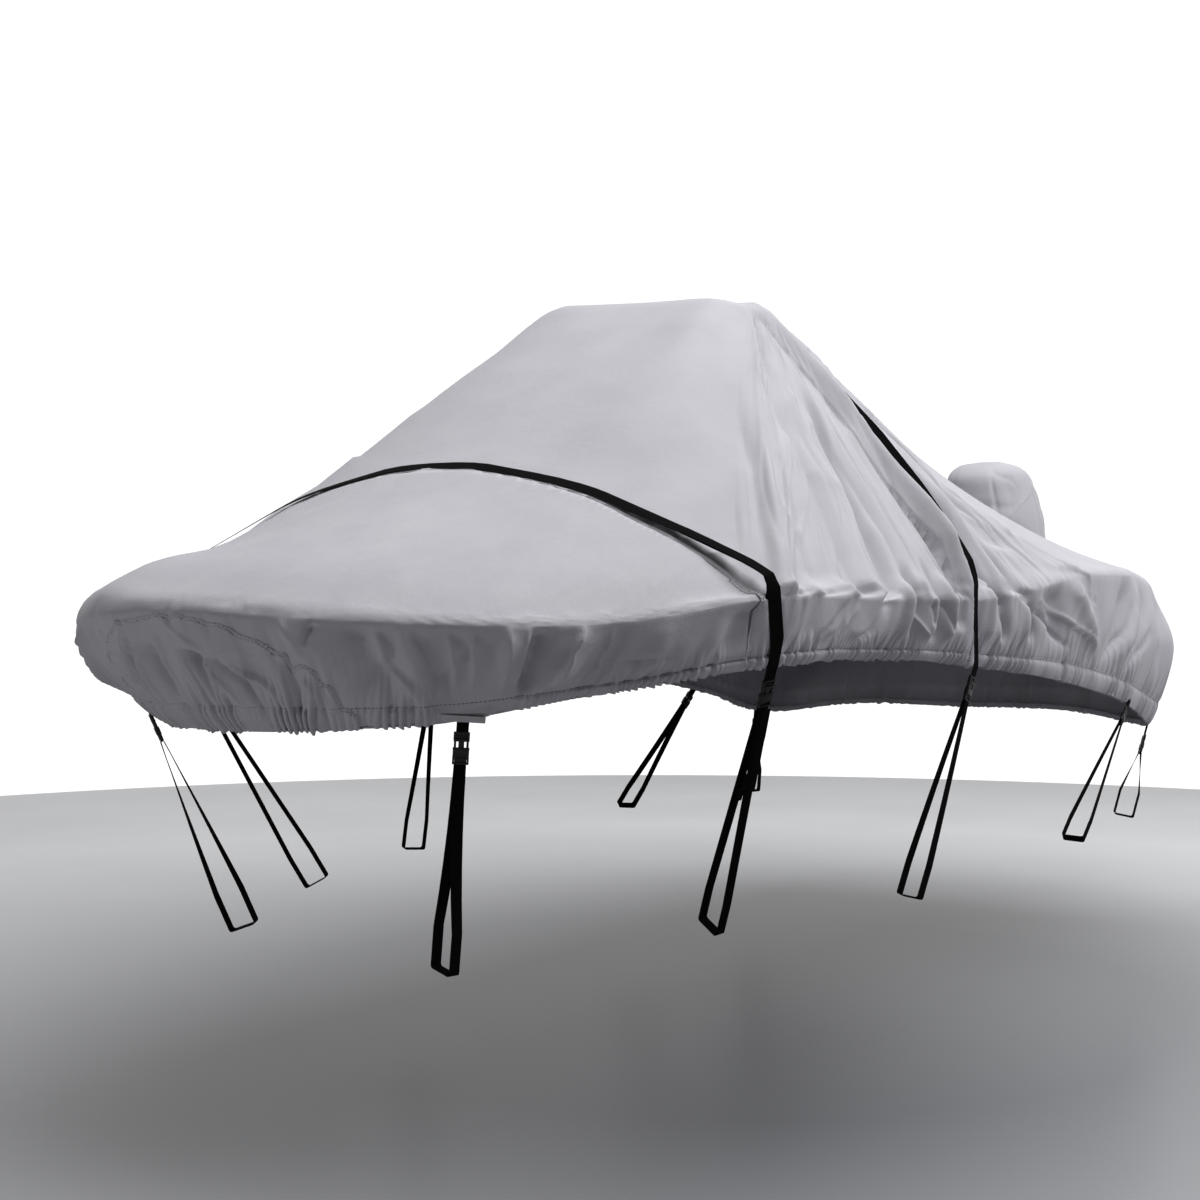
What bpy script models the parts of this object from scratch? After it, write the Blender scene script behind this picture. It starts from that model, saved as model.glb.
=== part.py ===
"""Fitted boat cover of coated cloth, as it hangs when it is strapped down.

The cover is four sewn panels, a separate rear hood, two straps that run over it, and five pairs of tie-downs:
webbing with a side-release buckle above a loop. Metres, +X aft, +Y starboard, +Z up. The origin is on the
underside of the cloth, in the middle of the flat top.
"""
import math

import bmesh
import bpy
import numpy as np
from mathutils import Matrix, Vector
from mathutils.bvhtree import BVHTree

# ---------------------------------------------------------------- driving dimensions
CLOTH = 0.002            # thickness of the cloth sheet
GAP = 0.0003             # gap between pieces that touch
TOP_TILT = 0.044         # rise of the flat top for each metre to starboard
SEAM_FORE_X = -1.147     # seam just ahead of the front over-strap
SEAM_AFT_X = 0.125       # seam just behind the rear over-strap
GORE_START = (-2.103, 0.0, -0.958)   # the bow gore's seam starts just under the bow's edge
GORE_FALL = 0.80         # and falls this much for each metre aft
WEB_WIDTH = 0.028        # polypropylene webbing of the tie-downs
WEB_THICK = 0.0014
STRAP_WIDTH = 0.034      # webbing of the over-straps
LOOP_WIDE = 0.075        # inside of each tie-down loop at its foot
LOOP_TALL = 0.100
FOOT_Z = -1.735          # height of the middle of that inside
LOOP_BEND = 0.008        # bend radius at a loop's corners
LOOP_STEPS = 5           # stretches that each leg of a loop is twisted in
BUCKLE_LONG = 0.075
BUCKLE_WIDE = 0.038
BUCKLE_THICK = 0.012

# One half of the cover, a row for each section from the bow to the stern.
# x, half, z: the edge line. x_top, half_top: where the section starts at the flat top's rim.
# z20 to z94: the cloth's height at 20, 40, 60, 80 and 94 % of the way from the rim out to the edge.
# roll_in, roll_up: how the cloth turns over the edge. belly_out, belly_down: the skirt's fullest point.
# hem_in, hem_down: the elastic hem, in and down from the edge.
SECTION_COLUMNS = (
    "x half z x_top half_top z20 z40 z60 z80 z94 roll_in roll_up belly_out belly_down hem_in hem_down"
).split()
SECTIONS = np.array([
    (-2.10, 0.00, -.960, -.110, .000, -.227, -.454, -.645, -.785, -.837, .060, .095, .000, .10, .200, .265),
    (-2.07, 0.20, -.960, -.110, .080, -.225, -.450, -.643, -.785, -.837, .060, .095, .000, .10, .200, .265),
    (-1.955, 0.41, -.955, -.120, .160, -.223, -.446, -.642, -.786, -.844, .055, .085, .000, .10, .200, .265),
    (-1.79, 0.605, -.945, -.130, .240, -.206, -.422, -.640, -.792, -.854, .040, .065, -.010, .10, .170, .260),
    (-1.50, 0.80, -.925, -.120, .310, -.180, -.388, -.605, -.768, -.852, .028, .045, -.020, .09, .110, .225),
    (-1.12, 1.02, -.900, .020, .338, -.190, -.368, -.540, -.700, -.812, .025, .035, -.015, .08, .050, .190),
    (-0.40, 1.04, -.900, .080, .336, -.182, -.360, -.535, -.708, -.830, .020, .025, -.015, .08, .070, .185),
    (0.30, 1.05, -.880, .105, .330, -.145, -.300, -.465, -.640, -.780, .022, .030, -.010, .10, .060, .250),
    (1.20, 1.02, -.850, .108, .325, -.205, -.410, -.580, -.720, -.800, .040, .030, .000, .15, .040, .370),
    (2.00, 0.96, -.860, .110, .320, -.222, -.447, -.606, -.725, -.785, .080, .055, .040, .22, .030, .480),
    (2.38, 0.89, -.900, .111, .310, -.232, -.455, -.625, -.745, -.800, .120, .080, .085, .22, .020, .530),
    (2.52, 0.78, -.890, .112, .290, -.245, -.475, -.648, -.770, -.815, .080, .060, .090, .22, .020, .540),
    (2.58, 0.58, -.870, .112, .220, -.265, -.500, -.662, -.776, -.820, .050, .040, .060, .22, .040, .530),
    (2.60, 0.00, -.870, .112, .000, -.280, -.515, -.672, -.780, -.824, .040, .035, .040, .22, .060, .520),
])

# Folds of the cloth, a row for each. s: metres along the edge line from the bow centre, at the flat top, at the
# edge and at the hem. first, last: the rows they run between (0 rim of the top, 1 to 2 over the edge, 3 hem).
# width: half width at the edge. depth: how far they stand out of the cloth, or go into it where negative.
FOLD_COLUMNS = "s_top s_edge s_hem first last width depth".split()
PORT_FOLDS = [
    # fan from the top's port edge down the side
    (1.20, 1.50, 1.46, 0.05, 1.00, .110, -.022),
    (1.50, 1.57, 1.50, 0.00, 1.40, .040, .022),
    (1.66, 1.82, 1.80, 0.04, 0.98, .085, -.034),
    (1.80, 1.95, 1.90, 0.20, 1.30, .050, -.020),
    (1.93, 2.05, 1.88, 0.15, 2.95, .045, .016),
    (2.24, 2.14, 1.97, 0.30, 2.98, .034, -.040),
    (2.36, 2.33, 2.30, 0.25, 1.10, .080, .016),
    (2.66, 2.60, 2.66, 0.35, 2.40, .050, -.052),
    (2.73, 2.69, 2.68, 0.25, 1.30, .028, .026),
    (2.80, 2.74, 2.76, 0.30, 2.98, .026, -.020),
    (2.80, 2.90, 3.02, 0.55, 2.60, .034, -.040),
    (2.92, 3.00, 3.05, 0.60, 1.30, .045, .014),
    (3.00, 3.08, 3.30, 0.80, 2.60, .036, -.026),
    (3.00, 3.40, 3.60, 0.30, 0.90, .110, -.030),
    (3.30, 3.75, 3.90, 0.60, 1.20, .110, .018),
    # skirt, bow to the front over-strap
    (0.05, 0.05, -.12, 1.60, 3.00, .050, -.022),
    (0.17, 0.17, 0.26, 1.80, 3.00, .050, -.026),
    (0.30, 0.30, 0.42, 1.70, 3.00, .045, .020),
    (0.46, 0.46, 0.58, 1.80, 2.95, .050, -.024),
    (0.56, 0.56, 0.64, 1.90, 3.00, .035, .018),
    (0.68, 0.68, 0.72, 2.00, 3.00, .060, -.014),
    (0.84, 0.84, 0.82, 1.90, 2.98, .028, .014),
    (0.90, 0.90, 0.87, 1.90, 2.98, .030, -.018),
    (1.03, 1.03, 0.94, 1.80, 2.98, .035, .016),
    (1.12, 1.12, 1.01, 1.80, 2.98, .035, -.014),
    (1.24, 1.24, 1.12, 1.80, 2.98, .040, .012),
    (1.43, 1.43, 1.38, 1.90, 3.00, .050, -.026),
    # skirt, between the over-straps: leaning folds, then deep pleats
    (1.66, 1.66, 1.50, 1.20, 2.95, .036, .013),
    (1.75, 1.75, 1.60, 1.30, 2.95, .036, -.013),
    (1.85, 1.85, 1.69, 1.20, 2.95, .036, .014),
    (1.96, 1.96, 1.80, 1.30, 2.95, .034, -.012),
    (2.22, 2.22, 2.24, 1.10, 2.98, .030, .018),
    (2.29, 2.29, 2.34, 0.98, 2.85, .028, -.024),
    (2.36, 2.37, 2.42, 1.10, 2.98, .028, .018),
    (2.45, 2.45, 2.49, 0.97, 2.85, .028, -.026),
    (2.52, 2.52, 2.56, 1.10, 2.98, .026, .018),
    # skirt, aft of the rear over-strap
    (2.83, 2.83, 2.84, 1.30, 2.98, .024, .014),
    (2.96, 2.97, 2.94, 1.60, 2.98, .026, .014),
    (3.14, 3.16, 3.14, 1.80, 2.98, .034, .018),
    (3.22, 3.28, 3.62, 1.85, 2.90, .095, -.060),
    (3.40, 3.46, 4.02, 2.00, 2.98, .070, .026),
    (4.50, 4.50, 3.95, 1.90, 2.95, .075, -.036),
    (4.60, 4.62, 4.12, 1.90, 2.98, .060, .020),
    (4.75, 4.75, 4.25, 2.05, 2.98, .065, -.034),
    (4.92, 4.90, 4.70, 2.00, 2.98, .055, -.022),
    (5.20, 5.20, 5.10, 2.00, 3.00, .060, -.020),
    (5.40, 5.40, 5.42, 2.00, 3.00, .060, .014),
]
STARBOARD_FOLDS = [
    (1.15, 1.42, 1.40, 0.05, 1.00, .120, -.020),
    (1.48, 1.55, 1.50, 0.00, 1.40, .045, .020),
    (1.70, 1.84, 1.78, 0.05, 0.98, .090, -.030),
    (1.95, 2.00, 1.86, 0.15, 2.95, .050, .016),
    (2.20, 2.18, 2.05, 0.30, 2.98, .045, -.034),
    (2.40, 2.38, 2.34, 0.25, 1.20, .070, .014),
    (2.62, 2.58, 2.62, 0.35, 2.50, .055, -.044),
    (2.80, 2.74, 2.76, 0.30, 2.98, .030, -.018),
    (2.84, 2.93, 3.00, 0.55, 2.60, .045, -.034),
    (3.02, 3.36, 3.55, 0.30, 0.95, .120, -.028),
    (3.35, 3.70, 3.90, 0.60, 1.20, .110, .016),
    (0.24, 0.24, 0.36, 1.70, 3.00, .060, -.024),
    (0.48, 0.48, 0.60, 1.80, 3.00, .060, .020),
    (0.74, 0.74, 0.80, 1.90, 2.98, .060, -.018),
    (0.98, 0.98, 0.90, 1.80, 2.98, .050, .015),
    (1.22, 1.22, 1.10, 1.80, 2.98, .055, -.015),
    (1.68, 1.68, 1.54, 1.20, 2.95, .050, .014),
    (1.82, 1.82, 1.66, 1.30, 2.95, .050, -.014),
    (2.30, 2.30, 2.34, 1.00, 2.90, .045, .018),
    (2.44, 2.44, 2.48, 0.97, 2.85, .045, -.024),
    (3.05, 3.08, 3.12, 1.50, 2.98, .050, .016),
    (3.30, 3.36, 3.66, 1.90, 2.90, .110, -.050),
    (3.62, 3.70, 4.10, 2.00, 2.98, .080, .024),
    (4.48, 4.48, 4.02, 1.90, 2.95, .085, -.034),
    (4.80, 4.80, 4.40, 2.05, 2.98, .080, -.030),
    (5.30, 5.30, 5.25, 2.00, 3.00, .075, -.020),
]
FOLD_FADE = 0.22         # length of a fold's run-out at each end, in rows
RUFFLE_PITCH = 0.094     # gathers of the elastic hem, at twice their real spacing
RUFFLE_DEPTH = 0.005
PATCH_S = 0.77           # place along the edge line of the flat patch on the hem

# Columns of cloth faces round the cover: the stretch of edge line they cover and how far apart they are.
PORT_PITCH = [(0.00, 1.40, .068), (1.40, 3.20, .035), (3.20, 4.90, .068), (4.90, 9.99, .100)]
STARBOARD_PITCH = [(0.00, 1.40, .085), (1.40, 3.20, .068), (3.20, 9.99, .105)]
ROWS = (0.0, .15, .35, .55, .74, .88, .97, 1.4, 2.0, 2.3, 2.6, 2.88, 3.0)

# Sections of the rear hood, top to hem.
HOOD_COLUMNS = "z x half_long half_wide".split()
HOOD = [
    (-.306, 2.950, .070, .055),
    (-.325, 2.935, .180, .115),
    (-.370, 2.935, .245, .155),
    (-.470, 2.960, .290, .182),
    (-.560, 2.978, .310, .196),
    (-.660, 2.990, .322, .203),
    (-.800, 2.982, .335, .210),
    (-.890, 2.960, .340, .205),
]
HOOD_SIDES = 28
HOOD_SQUARE = 2.6        # how square its corners are: 2 is an ellipse
HOOD_FOLDS = 7           # soft folds round its wall

# Tie-downs, fore to aft. hem_x, hem_z: where the webbing passes the hem. foot_x, foot_y: the middle of the loop's
# foot on the port side, out from the centreline; far_x, far_y: the same to starboard. lie: how far the foot turns
# out for each metre aft. drop: how far below the hem the buckle's centre hangs. over: it ends an over-strap.
TIE_COLUMNS = "name hem_x hem_z foot_x foot_y far_x far_y lie drop over".split()
TIES = [
    ("fore", -1.649, -1.196, -1.620, .440, -1.480, .360, .32, .060, False),
    ("mid", -1.068, -1.087, -0.833, .700, -0.833, .700, .32, .072, True),
    ("aft", 0.179, -1.120, -0.058, .920, -0.058, .920, .28, .066, True),
    ("quarter", 1.883, -1.318, 1.347, .930, 1.347, .930, .00, .058, False),
    ("stern", 2.350, -1.427, 2.222, .840, 2.222, .840, .00, .080, False),
]
PATCH_WIDE = 0.100       # stiff patch on the hem above the fore tie-downs
PATCH_TALL = 0.021
PATCH_THICK = 0.0012
PATCH_DROP = 0.006       # how far the patch reaches below the hem
TAB_CLEAR = 0.0008       # from that patch's lower edge to the top of its tab
TAB_SEAM = 0.022         # length of the other tabs that is sewn to the hem's outside

OVER_STRAPS = {"mid": -1.120, "aft": 0.100}     # the station each over-strap crosses the cover at
STRAP_AXIS_Z = -1.00     # height of the line from which an over-strap is felt out
STRAP_DRIFT = 0.20       # height above the hem over which an over-strap drifts aft
STRAP_RAYS = 1500        # directions in which the cloth under a strap is felt for
STRAP_LIFT = 0.0013      # the strap's clearance over the cloth's facets
HEM_LIFT = 0.0035        # and over the gathers of the hem
STRAP_SLACK = 0.0005     # how far its outline may be simplified

COLLECTION = "boat_cover"


# ---------------------------------------------------------------- scene and materials
def clear_scene():
    for old in list(bpy.data.objects):
        bpy.data.objects.remove(old, do_unlink=True)


def new_collection(name):
    group = bpy.data.collections.new(name)
    bpy.context.scene.collection.children.link(group)
    return group


def material(name, colour, roughness):
    """A plain finish; none of these pieces is metal."""
    finish = bpy.data.materials.new(name)
    finish.use_nodes = True
    shader = finish.node_tree.nodes["Principled BSDF"]
    shader.inputs["Base Color"].default_value = (*colour, 1.0)
    shader.inputs["Roughness"].default_value = roughness
    shader.inputs["Metallic"].default_value = 0.0
    return finish


def add_mesh(name, vertices, faces, finish, group):
    data = bpy.data.meshes.new(name)
    data.from_pydata([tuple(map(float, v)) for v in vertices], [], faces)
    data.materials.append(finish)
    piece = bpy.data.objects.new(name, data)
    group.objects.link(piece)
    return piece


def split_faces(piece):
    """Triangles from here on, so that a sheet's two faces bend along the same diagonals."""
    cage = bmesh.new()
    cage.from_mesh(piece.data)
    bmesh.ops.triangulate(cage, faces=cage.faces, quad_method="SHORT_EDGE", ngon_method="BEAUTY")
    cage.to_mesh(piece.data)
    cage.free()


def solidify(piece, thickness, offset):
    wall = piece.modifiers.new("thickness", "SOLIDIFY")
    wall.thickness = thickness
    wall.offset = offset
    wall.use_even_offset = True
    wall.use_quality_normals = True
    return wall


# ---------------------------------------------------------------- the shape of the cloth
def hermite(knots, values, slopes, at):
    """Cubic through values at knots with the given slopes, read at each of at. Both may have further axes."""
    low = np.clip(np.searchsorted(knots, at, side="right") - 1, 0, len(knots) - 2)
    shape = (-1,) + (1,) * (values.ndim - 1)
    step = (knots[low + 1] - knots[low]).reshape(shape)
    t = (at - knots[low]).reshape(shape) / step
    return (
        (1 + 2 * t) * (1 - t) ** 2 * values[low]
        + t * (1 - t) ** 2 * step * slopes[low]
        + t * t * (3 - 2 * t) * values[low + 1]
        + t * t * (t - 1) * step * slopes[low + 1]
    )


def smooth_round(knots, values, at):
    """A smooth curve through the sections round the cover."""
    step = np.diff(knots)[:, None]
    rise = np.diff(values, axis=0) / step
    slopes = np.zeros_like(values)
    slopes[1:-1] = (rise[:-1] * step[1:] + rise[1:] * step[:-1]) / (step[1:] + step[:-1])
    return hermite(knots, values, slopes, at)


def smooth_down(knots, values, at):
    """A curve down a section that never overshoots its values."""
    shape = (-1,) + (1,) * (values.ndim - 1)
    step = np.diff(knots).reshape(shape)
    rise = np.diff(values, axis=0) / step
    before = 2 * step[1:] + step[:-1]
    after = step[1:] + 2 * step[:-1]
    same_way = rise[:-1] * rise[1:] > 0
    safe_first = np.where(same_way, rise[:-1], 1.0)
    safe_next = np.where(same_way, rise[1:], 1.0)
    slopes = np.zeros_like(values)
    slopes[0] = rise[0]
    slopes[-1] = rise[-1]
    slopes[1:-1] = np.where(same_way, (before + after) / (before / safe_first + after / safe_next), 0.0)
    return hermite(knots, values, slopes, at)


EDGE_STEPS = np.hypot(np.diff(SECTIONS[:, 0]), np.diff(SECTIONS[:, 1]))
EDGE_S = np.concatenate([[0.0], np.cumsum(EDGE_STEPS)])
HALF_ROUND = EDGE_S[-1]  # length of the edge line from the bow centre to the stern centre


def section_values(s):
    """The section table read at each s: metres of edge line from the bow centre, port positive."""
    signs = np.array([-1.0 if name in ("half", "half_top") else 1.0 for name in SECTION_COLUMNS])
    knots = np.concatenate([-EDGE_S[:0:-1], EDGE_S, 2 * HALF_ROUND - EDGE_S[-2::-1]])
    table = np.concatenate([SECTIONS[:0:-1] * signs, SECTIONS, SECTIONS[-2::-1] * signs])
    read = smooth_round(knots, table, np.abs(s))
    values = {name: read[:, k] for k, name in enumerate(SECTION_COLUMNS)}
    side = np.where(s < 0, -1.0, 1.0)
    values["half"] = values["half"] * side
    values["half_top"] = values["half_top"] * side
    return values


def plain_cloth(s, rows):
    """The cloth with no folds: x, port offset and z for each row and each s."""
    now = section_values(s)
    ahead = section_values(s + 0.001)
    behind = section_values(s - 0.001)
    run = np.hypot(ahead["x"] - behind["x"], ahead["half"] - behind["half"])
    out_x = -(ahead["half"] - behind["half"]) / run
    out_y = (ahead["x"] - behind["x"]) / run
    lip_x = now["x"] - out_x * now["roll_in"]
    lip_y = now["half"] - out_y * now["roll_in"]
    lip_z = now["z"] + now["roll_up"]
    rim_z = CLOTH - TOP_TILT * now["half_top"]
    down_rows = np.array([0.0, .2, .4, .6, .8, .94, 1.0])
    heights = np.stack([rim_z] + [now[k] for k in ("z20", "z40", "z60", "z80", "z94")] + [lip_z])
    skirt_rows = np.array([0.0, .4, 1.0])
    outs = np.stack([0 * lip_z, now["belly_out"], -now["hem_in"]])
    drops = np.stack([0 * lip_z, now["belly_down"], now["hem_down"]])
    points = np.zeros((len(rows), len(s), 3))
    for k, row in enumerate(rows):
        if row <= 1:
            x = now["x_top"] + (lip_x - now["x_top"]) * row
            y = now["half_top"] + (lip_y - now["half_top"]) * row
            z = smooth_down(down_rows, heights, np.array([row]))[0]
        elif row <= 2:
            turn = (row - 1) * math.pi / 2
            x = lip_x + out_x * now["roll_in"] * math.sin(turn)
            y = lip_y + out_y * now["roll_in"] * math.sin(turn)
            z = now["z"] + now["roll_up"] * math.cos(turn)
        else:
            out = smooth_down(skirt_rows, outs, np.array([row - 2]))[0]
            drop = smooth_down(skirt_rows, drops, np.array([row - 2]))[0]
            x = now["x"] + out_x * out
            y = now["half"] + out_y * out
            z = now["z"] - drop
        points[k] = np.stack([x, y, z], axis=-1)
    return points


def run_out(row, first, last):
    """1 along a fold, falling smoothly to 0 at its ends."""
    into = np.clip((row - first) / FOLD_FADE, 0, 1)
    out_of = np.clip((last + 0.02 - row) / FOLD_FADE, 0, 1)
    level = np.minimum(into, out_of)
    return level * level * (3 - 2 * level)


def fold_relief(s, row):
    """How far the folds lift the cloth out at one row, for each s."""
    relief = np.zeros_like(s)
    fan = min(1.0, 1.25 * row)     # the folds draw together towards the flat top
    for side, folds in ((1.0, PORT_FOLDS), (-1.0, STARBOARD_FOLDS)):
        for line in folds:
            fold = dict(zip(FOLD_COLUMNS, line))
            middle = np.interp(row, (0.0, 1.6, 3.0), (fold["s_top"], fold["s_edge"], fold["s_hem"]))
            strength = run_out(row, fold["first"], fold["last"]) * fan
            relief += fold["depth"] * strength * np.exp(-(((side * s - middle) / fold["width"]) ** 2))
    if row > 2.8:
        gather = np.sin(2 * math.pi * s / RUFFLE_PITCH) + 0.5 * np.sin(2 * math.pi * s / (1.7 * RUFFLE_PITCH))
        relief += RUFFLE_DEPTH * gather * (row - 2.8) / 0.2
    if row > 2.5:
        relief *= 1 - np.exp(-(((np.abs(s) - PATCH_S) / 0.10) ** 4))
    return relief


def folded_cloth(s, rows):
    """The folded cloth's outer face, with +Y to starboard."""
    plain = plain_cloth(s, rows)
    round_way = np.roll(plain, -1, axis=1) - np.roll(plain, 1, axis=1)
    down_way = np.gradient(plain, axis=0)
    out = np.cross(round_way, down_way)
    out /= np.linalg.norm(out, axis=-1, keepdims=True)
    points = plain.copy()
    for k, row in enumerate(rows):
        if row > 0:
            points[k] += out[k] * fold_relief(s, row)[:, None]
    points[..., 1] *= -1
    return points


def column_places():
    """Places of the columns of faces along the edge line, starboard stern round the bow to port stern."""
    def one_side(pitches):
        places = [0.0]
        while places[-1] < HALF_ROUND:
            pitch = next(p for low, high, p in pitches if low <= places[-1] < high)
            places.append(places[-1] + pitch)
        return np.array(places) * HALF_ROUND / places[-1]
    port = one_side(PORT_PITCH)
    starboard = one_side(STARBOARD_PITCH)
    return np.concatenate([-starboard[:0:-1], port[:-1]])


def cloth_sheet(group, finish):
    """The whole cover before it is parted at its seams: one open sheet, given its thickness inwards."""
    places = column_places()
    points = folded_cloth(places, ROWS)
    rows, columns = points.shape[:2]
    faces = [tuple(range(columns))[::-1]]
    for r in range(rows - 1):
        for c in range(columns):
            d = (c + 1) % columns
            faces.append((r * columns + c, r * columns + d, (r + 1) * columns + d, (r + 1) * columns + c))
    sheet = add_mesh("cloth_sheet", points.reshape(-1, 3), faces, finish, group)
    if sheet.data.polygons[0].normal.z < 0:
        sheet.data.flip_normals()
    split_faces(sheet)
    return sheet


# ---------------------------------------------------------------- panels
def box_cutter(name, low, high, group, place=None):
    """A box from its low to its high corner, in the frame of place."""
    size = Vector(high) - Vector(low)
    bpy.ops.mesh.primitive_cube_add(size=1.0)
    cutter = bpy.context.active_object
    cutter.name = name
    cutter.data.transform(Matrix.Translation(Vector(low) + size / 2) @ Matrix.Diagonal((*size, 1.0)))
    cutter.matrix_world = place or Matrix.Identity(4)
    for old in list(cutter.users_collection):
        old.objects.unlink(cutter)
    group.objects.link(cutter)
    cutter.hide_render = True
    cutter.display_type = "WIRE"
    return cutter


def panel(name, wall, finish, group, keep, without=()):
    """The part of the cloth wall inside one cutter and outside the others."""
    piece = bpy.data.objects.new(name, wall.copy())
    piece.data.materials.clear()
    piece.data.materials.append(finish)
    group.objects.link(piece)
    for cutter, operation in [(keep, "INTERSECT")] + [(c, "DIFFERENCE") for c in without]:
        cut = piece.modifiers.new(cutter.name, "BOOLEAN")
        cut.object = cutter
        cut.operation = operation
        cut.solver = "EXACT"
    return piece


def build_panels(group, cutters, finish):
    """Bow gore, foredeck, midship and aft panels, parted along the cover's seams."""
    sheet = cloth_sheet(group, finish)
    solidify(sheet, CLOTH, -1.0)
    view = bpy.context.evaluated_depsgraph_get()
    wall = bpy.data.meshes.new_from_object(sheet.evaluated_get(view))
    tree = BVHTree.FromPolygons([v.co for v in wall.vertices], [p.vertices for p in wall.polygons])
    corners = [Vector(p) for p in folded_cloth(column_places(), ROWS)[-1]]
    hem = [a.lerp(b, k / 20) for a, b in zip(corners, corners[1:] + corners[:1]) for k in range(20)]
    bpy.data.objects.remove(sheet, do_unlink=True)

    half = GAP / 2
    slant = Matrix.Translation(GORE_START) @ Matrix.Rotation(math.atan(GORE_FALL), 4, "Y")
    gore = box_cutter("gore_zone", (-0.4, -1.2, -1.6), (1.2, 1.2, -half), cutters, slant)
    gore_room = box_cutter("gore_room", (-0.5, -1.3, -1.7), (1.3, 1.3, half), cutters, slant)
    fore = box_cutter("fore_zone", (-2.5, -1.5, -2.0), (SEAM_FORE_X - half, 1.5, 0.5), cutters)
    mid = box_cutter("mid_zone", (SEAM_FORE_X + half, -1.5, -2.0), (SEAM_AFT_X - half, 1.5, 0.5), cutters)
    aft = box_cutter("aft_zone", (SEAM_AFT_X + half, -1.5, -2.0), (3.5, 1.5, 0.5), cutters)
    panel("bow_gore", wall, finish, group, gore)
    panel("foredeck_panel", wall, finish, group, fore, [gore_room])
    panel("midship_panel", wall, finish, group, mid)
    panel("aft_panel", wall, finish, group, aft)
    return tree, hem


# ---------------------------------------------------------------- rear hood
def build_hood(group, finish, cloth_tree):
    """A tall rounded hood, open below; its front hem is tacked to the cover's stern."""
    heights = np.array([row[0] for row in HOOD])[::-1]
    table = np.array([row[1:] for row in HOOD])[::-1]
    levels = np.array([row[0] for row in HOOD])
    turns = np.arange(HOOD_SIDES) * 2 * math.pi / HOOD_SIDES
    power = 2 / HOOD_SQUARE
    across = np.sign(np.cos(turns)) * np.abs(np.cos(turns)) ** power
    beside = np.sign(np.sin(turns)) * np.abs(np.sin(turns)) ** power
    rings = []
    for z in levels:
        x, half_long, half_wide = smooth_down(heights, table, np.array([z]))[0]
        low = np.clip((HOOD[1][0] - z) / (HOOD[1][0] - HOOD[-1][0]), 0, 1)
        swell = 1 + 0.030 * low * np.cos(HOOD_FOLDS * turns + 0.6) * (np.cos(turns) > -0.6)
        ring = np.stack([x + half_long * across * swell, half_wide * beside * swell, np.full_like(turns, z)], -1)
        rings.append(ring)
    # the front of the hem is drawn forward until it meets the cover's stern
    stern = cloth_tree.ray_cast(Vector((3.4, 0.0, levels[-1])), Vector((-1, 0, 0)))[0]
    front = rings[-1][:, 0].min()
    shift = stern.x + 2 * GAP - front
    for k, z in enumerate(levels):
        share = np.clip((levels[4] - z) / (levels[4] - levels[-1]), 0, 1) ** 2
        rings[k][:, 0] += shift * share
    points = np.concatenate(rings)
    faces = [tuple(range(HOOD_SIDES))]
    for r in range(len(levels) - 1):
        for c in range(HOOD_SIDES):
            d = (c + 1) % HOOD_SIDES
            low, high = (r + 1) * HOOD_SIDES, r * HOOD_SIDES
            faces.append((high + d, high + c, low + c, low + d))
    hood = add_mesh("rear_hood", points, faces, finish, group)
    split_faces(hood)
    solidify(hood, CLOTH, -1.0)
    return hood


# ---------------------------------------------------------------- straps, buckles and loops
def tie_frame(hem, foot, along):
    """Axes of a tie-down: across the webbing (as near along as it can be), out of its face, and up its length."""
    up = (hem - foot).normalized()
    across = (along - up * up.dot(along)).normalized()
    out = up.cross(across)
    if out.y * hem.y < 0:
        out.negate()
        across.negate()
    return across, out, up


def frame_matrix(origin, across, out, up):
    turn = Matrix((across, out, up)).transposed().to_4x4()
    return Matrix.Translation(origin) @ turn


def round_corners(corners, radius, steps=3):
    """A closed outline with each corner replaced by a short arc."""
    line = []
    for k, corner in enumerate(corners):
        before = (corners[k - 1] - corner)
        after = (corners[(k + 1) % len(corners)] - corner)
        half_angle = before.angle(after) / 2
        reach = min(radius / math.tan(half_angle), 0.45 * before.length, 0.45 * after.length)
        start = corner + before.normalized() * reach
        end = corner + after.normalized() * reach
        for j in range(steps + 1):
            t = j / steps
            line.append(start * (1 - t) ** 2 + corner * 2 * t * (1 - t) + end * t * t)
    return line


def build_loop(name, neck, foot, frame, foot_frame, finish, group):
    """One band of webbing from the buckle, down round the foot and back; its legs twist from one to the other."""
    across, out, up = frame
    foot_across, foot_out, _ = foot_frame
    wide = LOOP_WIDE / 2
    tall = LOOP_TALL / 2
    top = (neck - foot).dot(up)
    corners = [
        (0.004, top), (wide, tall), (wide, -tall), (-wide, -tall), (-wide, tall), (-0.004, top),
    ]
    line = round_corners([Vector((x, y, 0)) for x, y in corners], LOOP_BEND)
    line = split_long(line, (top - tall) / LOOP_STEPS)
    points = []
    for place in line:
        share = max(0.0, (place.y - tall) / (top - tall))
        middle = foot + foot_out.lerp(out, share) * place.x + up * place.y
        side = foot_across.lerp(across, share).normalized() * WEB_WIDTH / 2
        points += [middle - side, middle + side]
    count = len(line)
    faces = []
    for k in range(count):
        n = (k + 1) % count
        faces.append((2 * k, 2 * k + 1, 2 * n + 1, 2 * n))
    loop = add_mesh(name, points, faces, finish, group)
    split_faces(loop)
    solidify(loop, WEB_THICK, 0.0)
    return loop


def split_long(line, longest):
    """A closed outline whose long stretches are cut into equal parts."""
    parts = []
    for k, start in enumerate(line):
        end = line[(k + 1) % len(line)]
        count = max(1, round((end - start).length / longest))
        parts += [start.lerp(end, j / count) for j in range(count)]
    return parts


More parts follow.
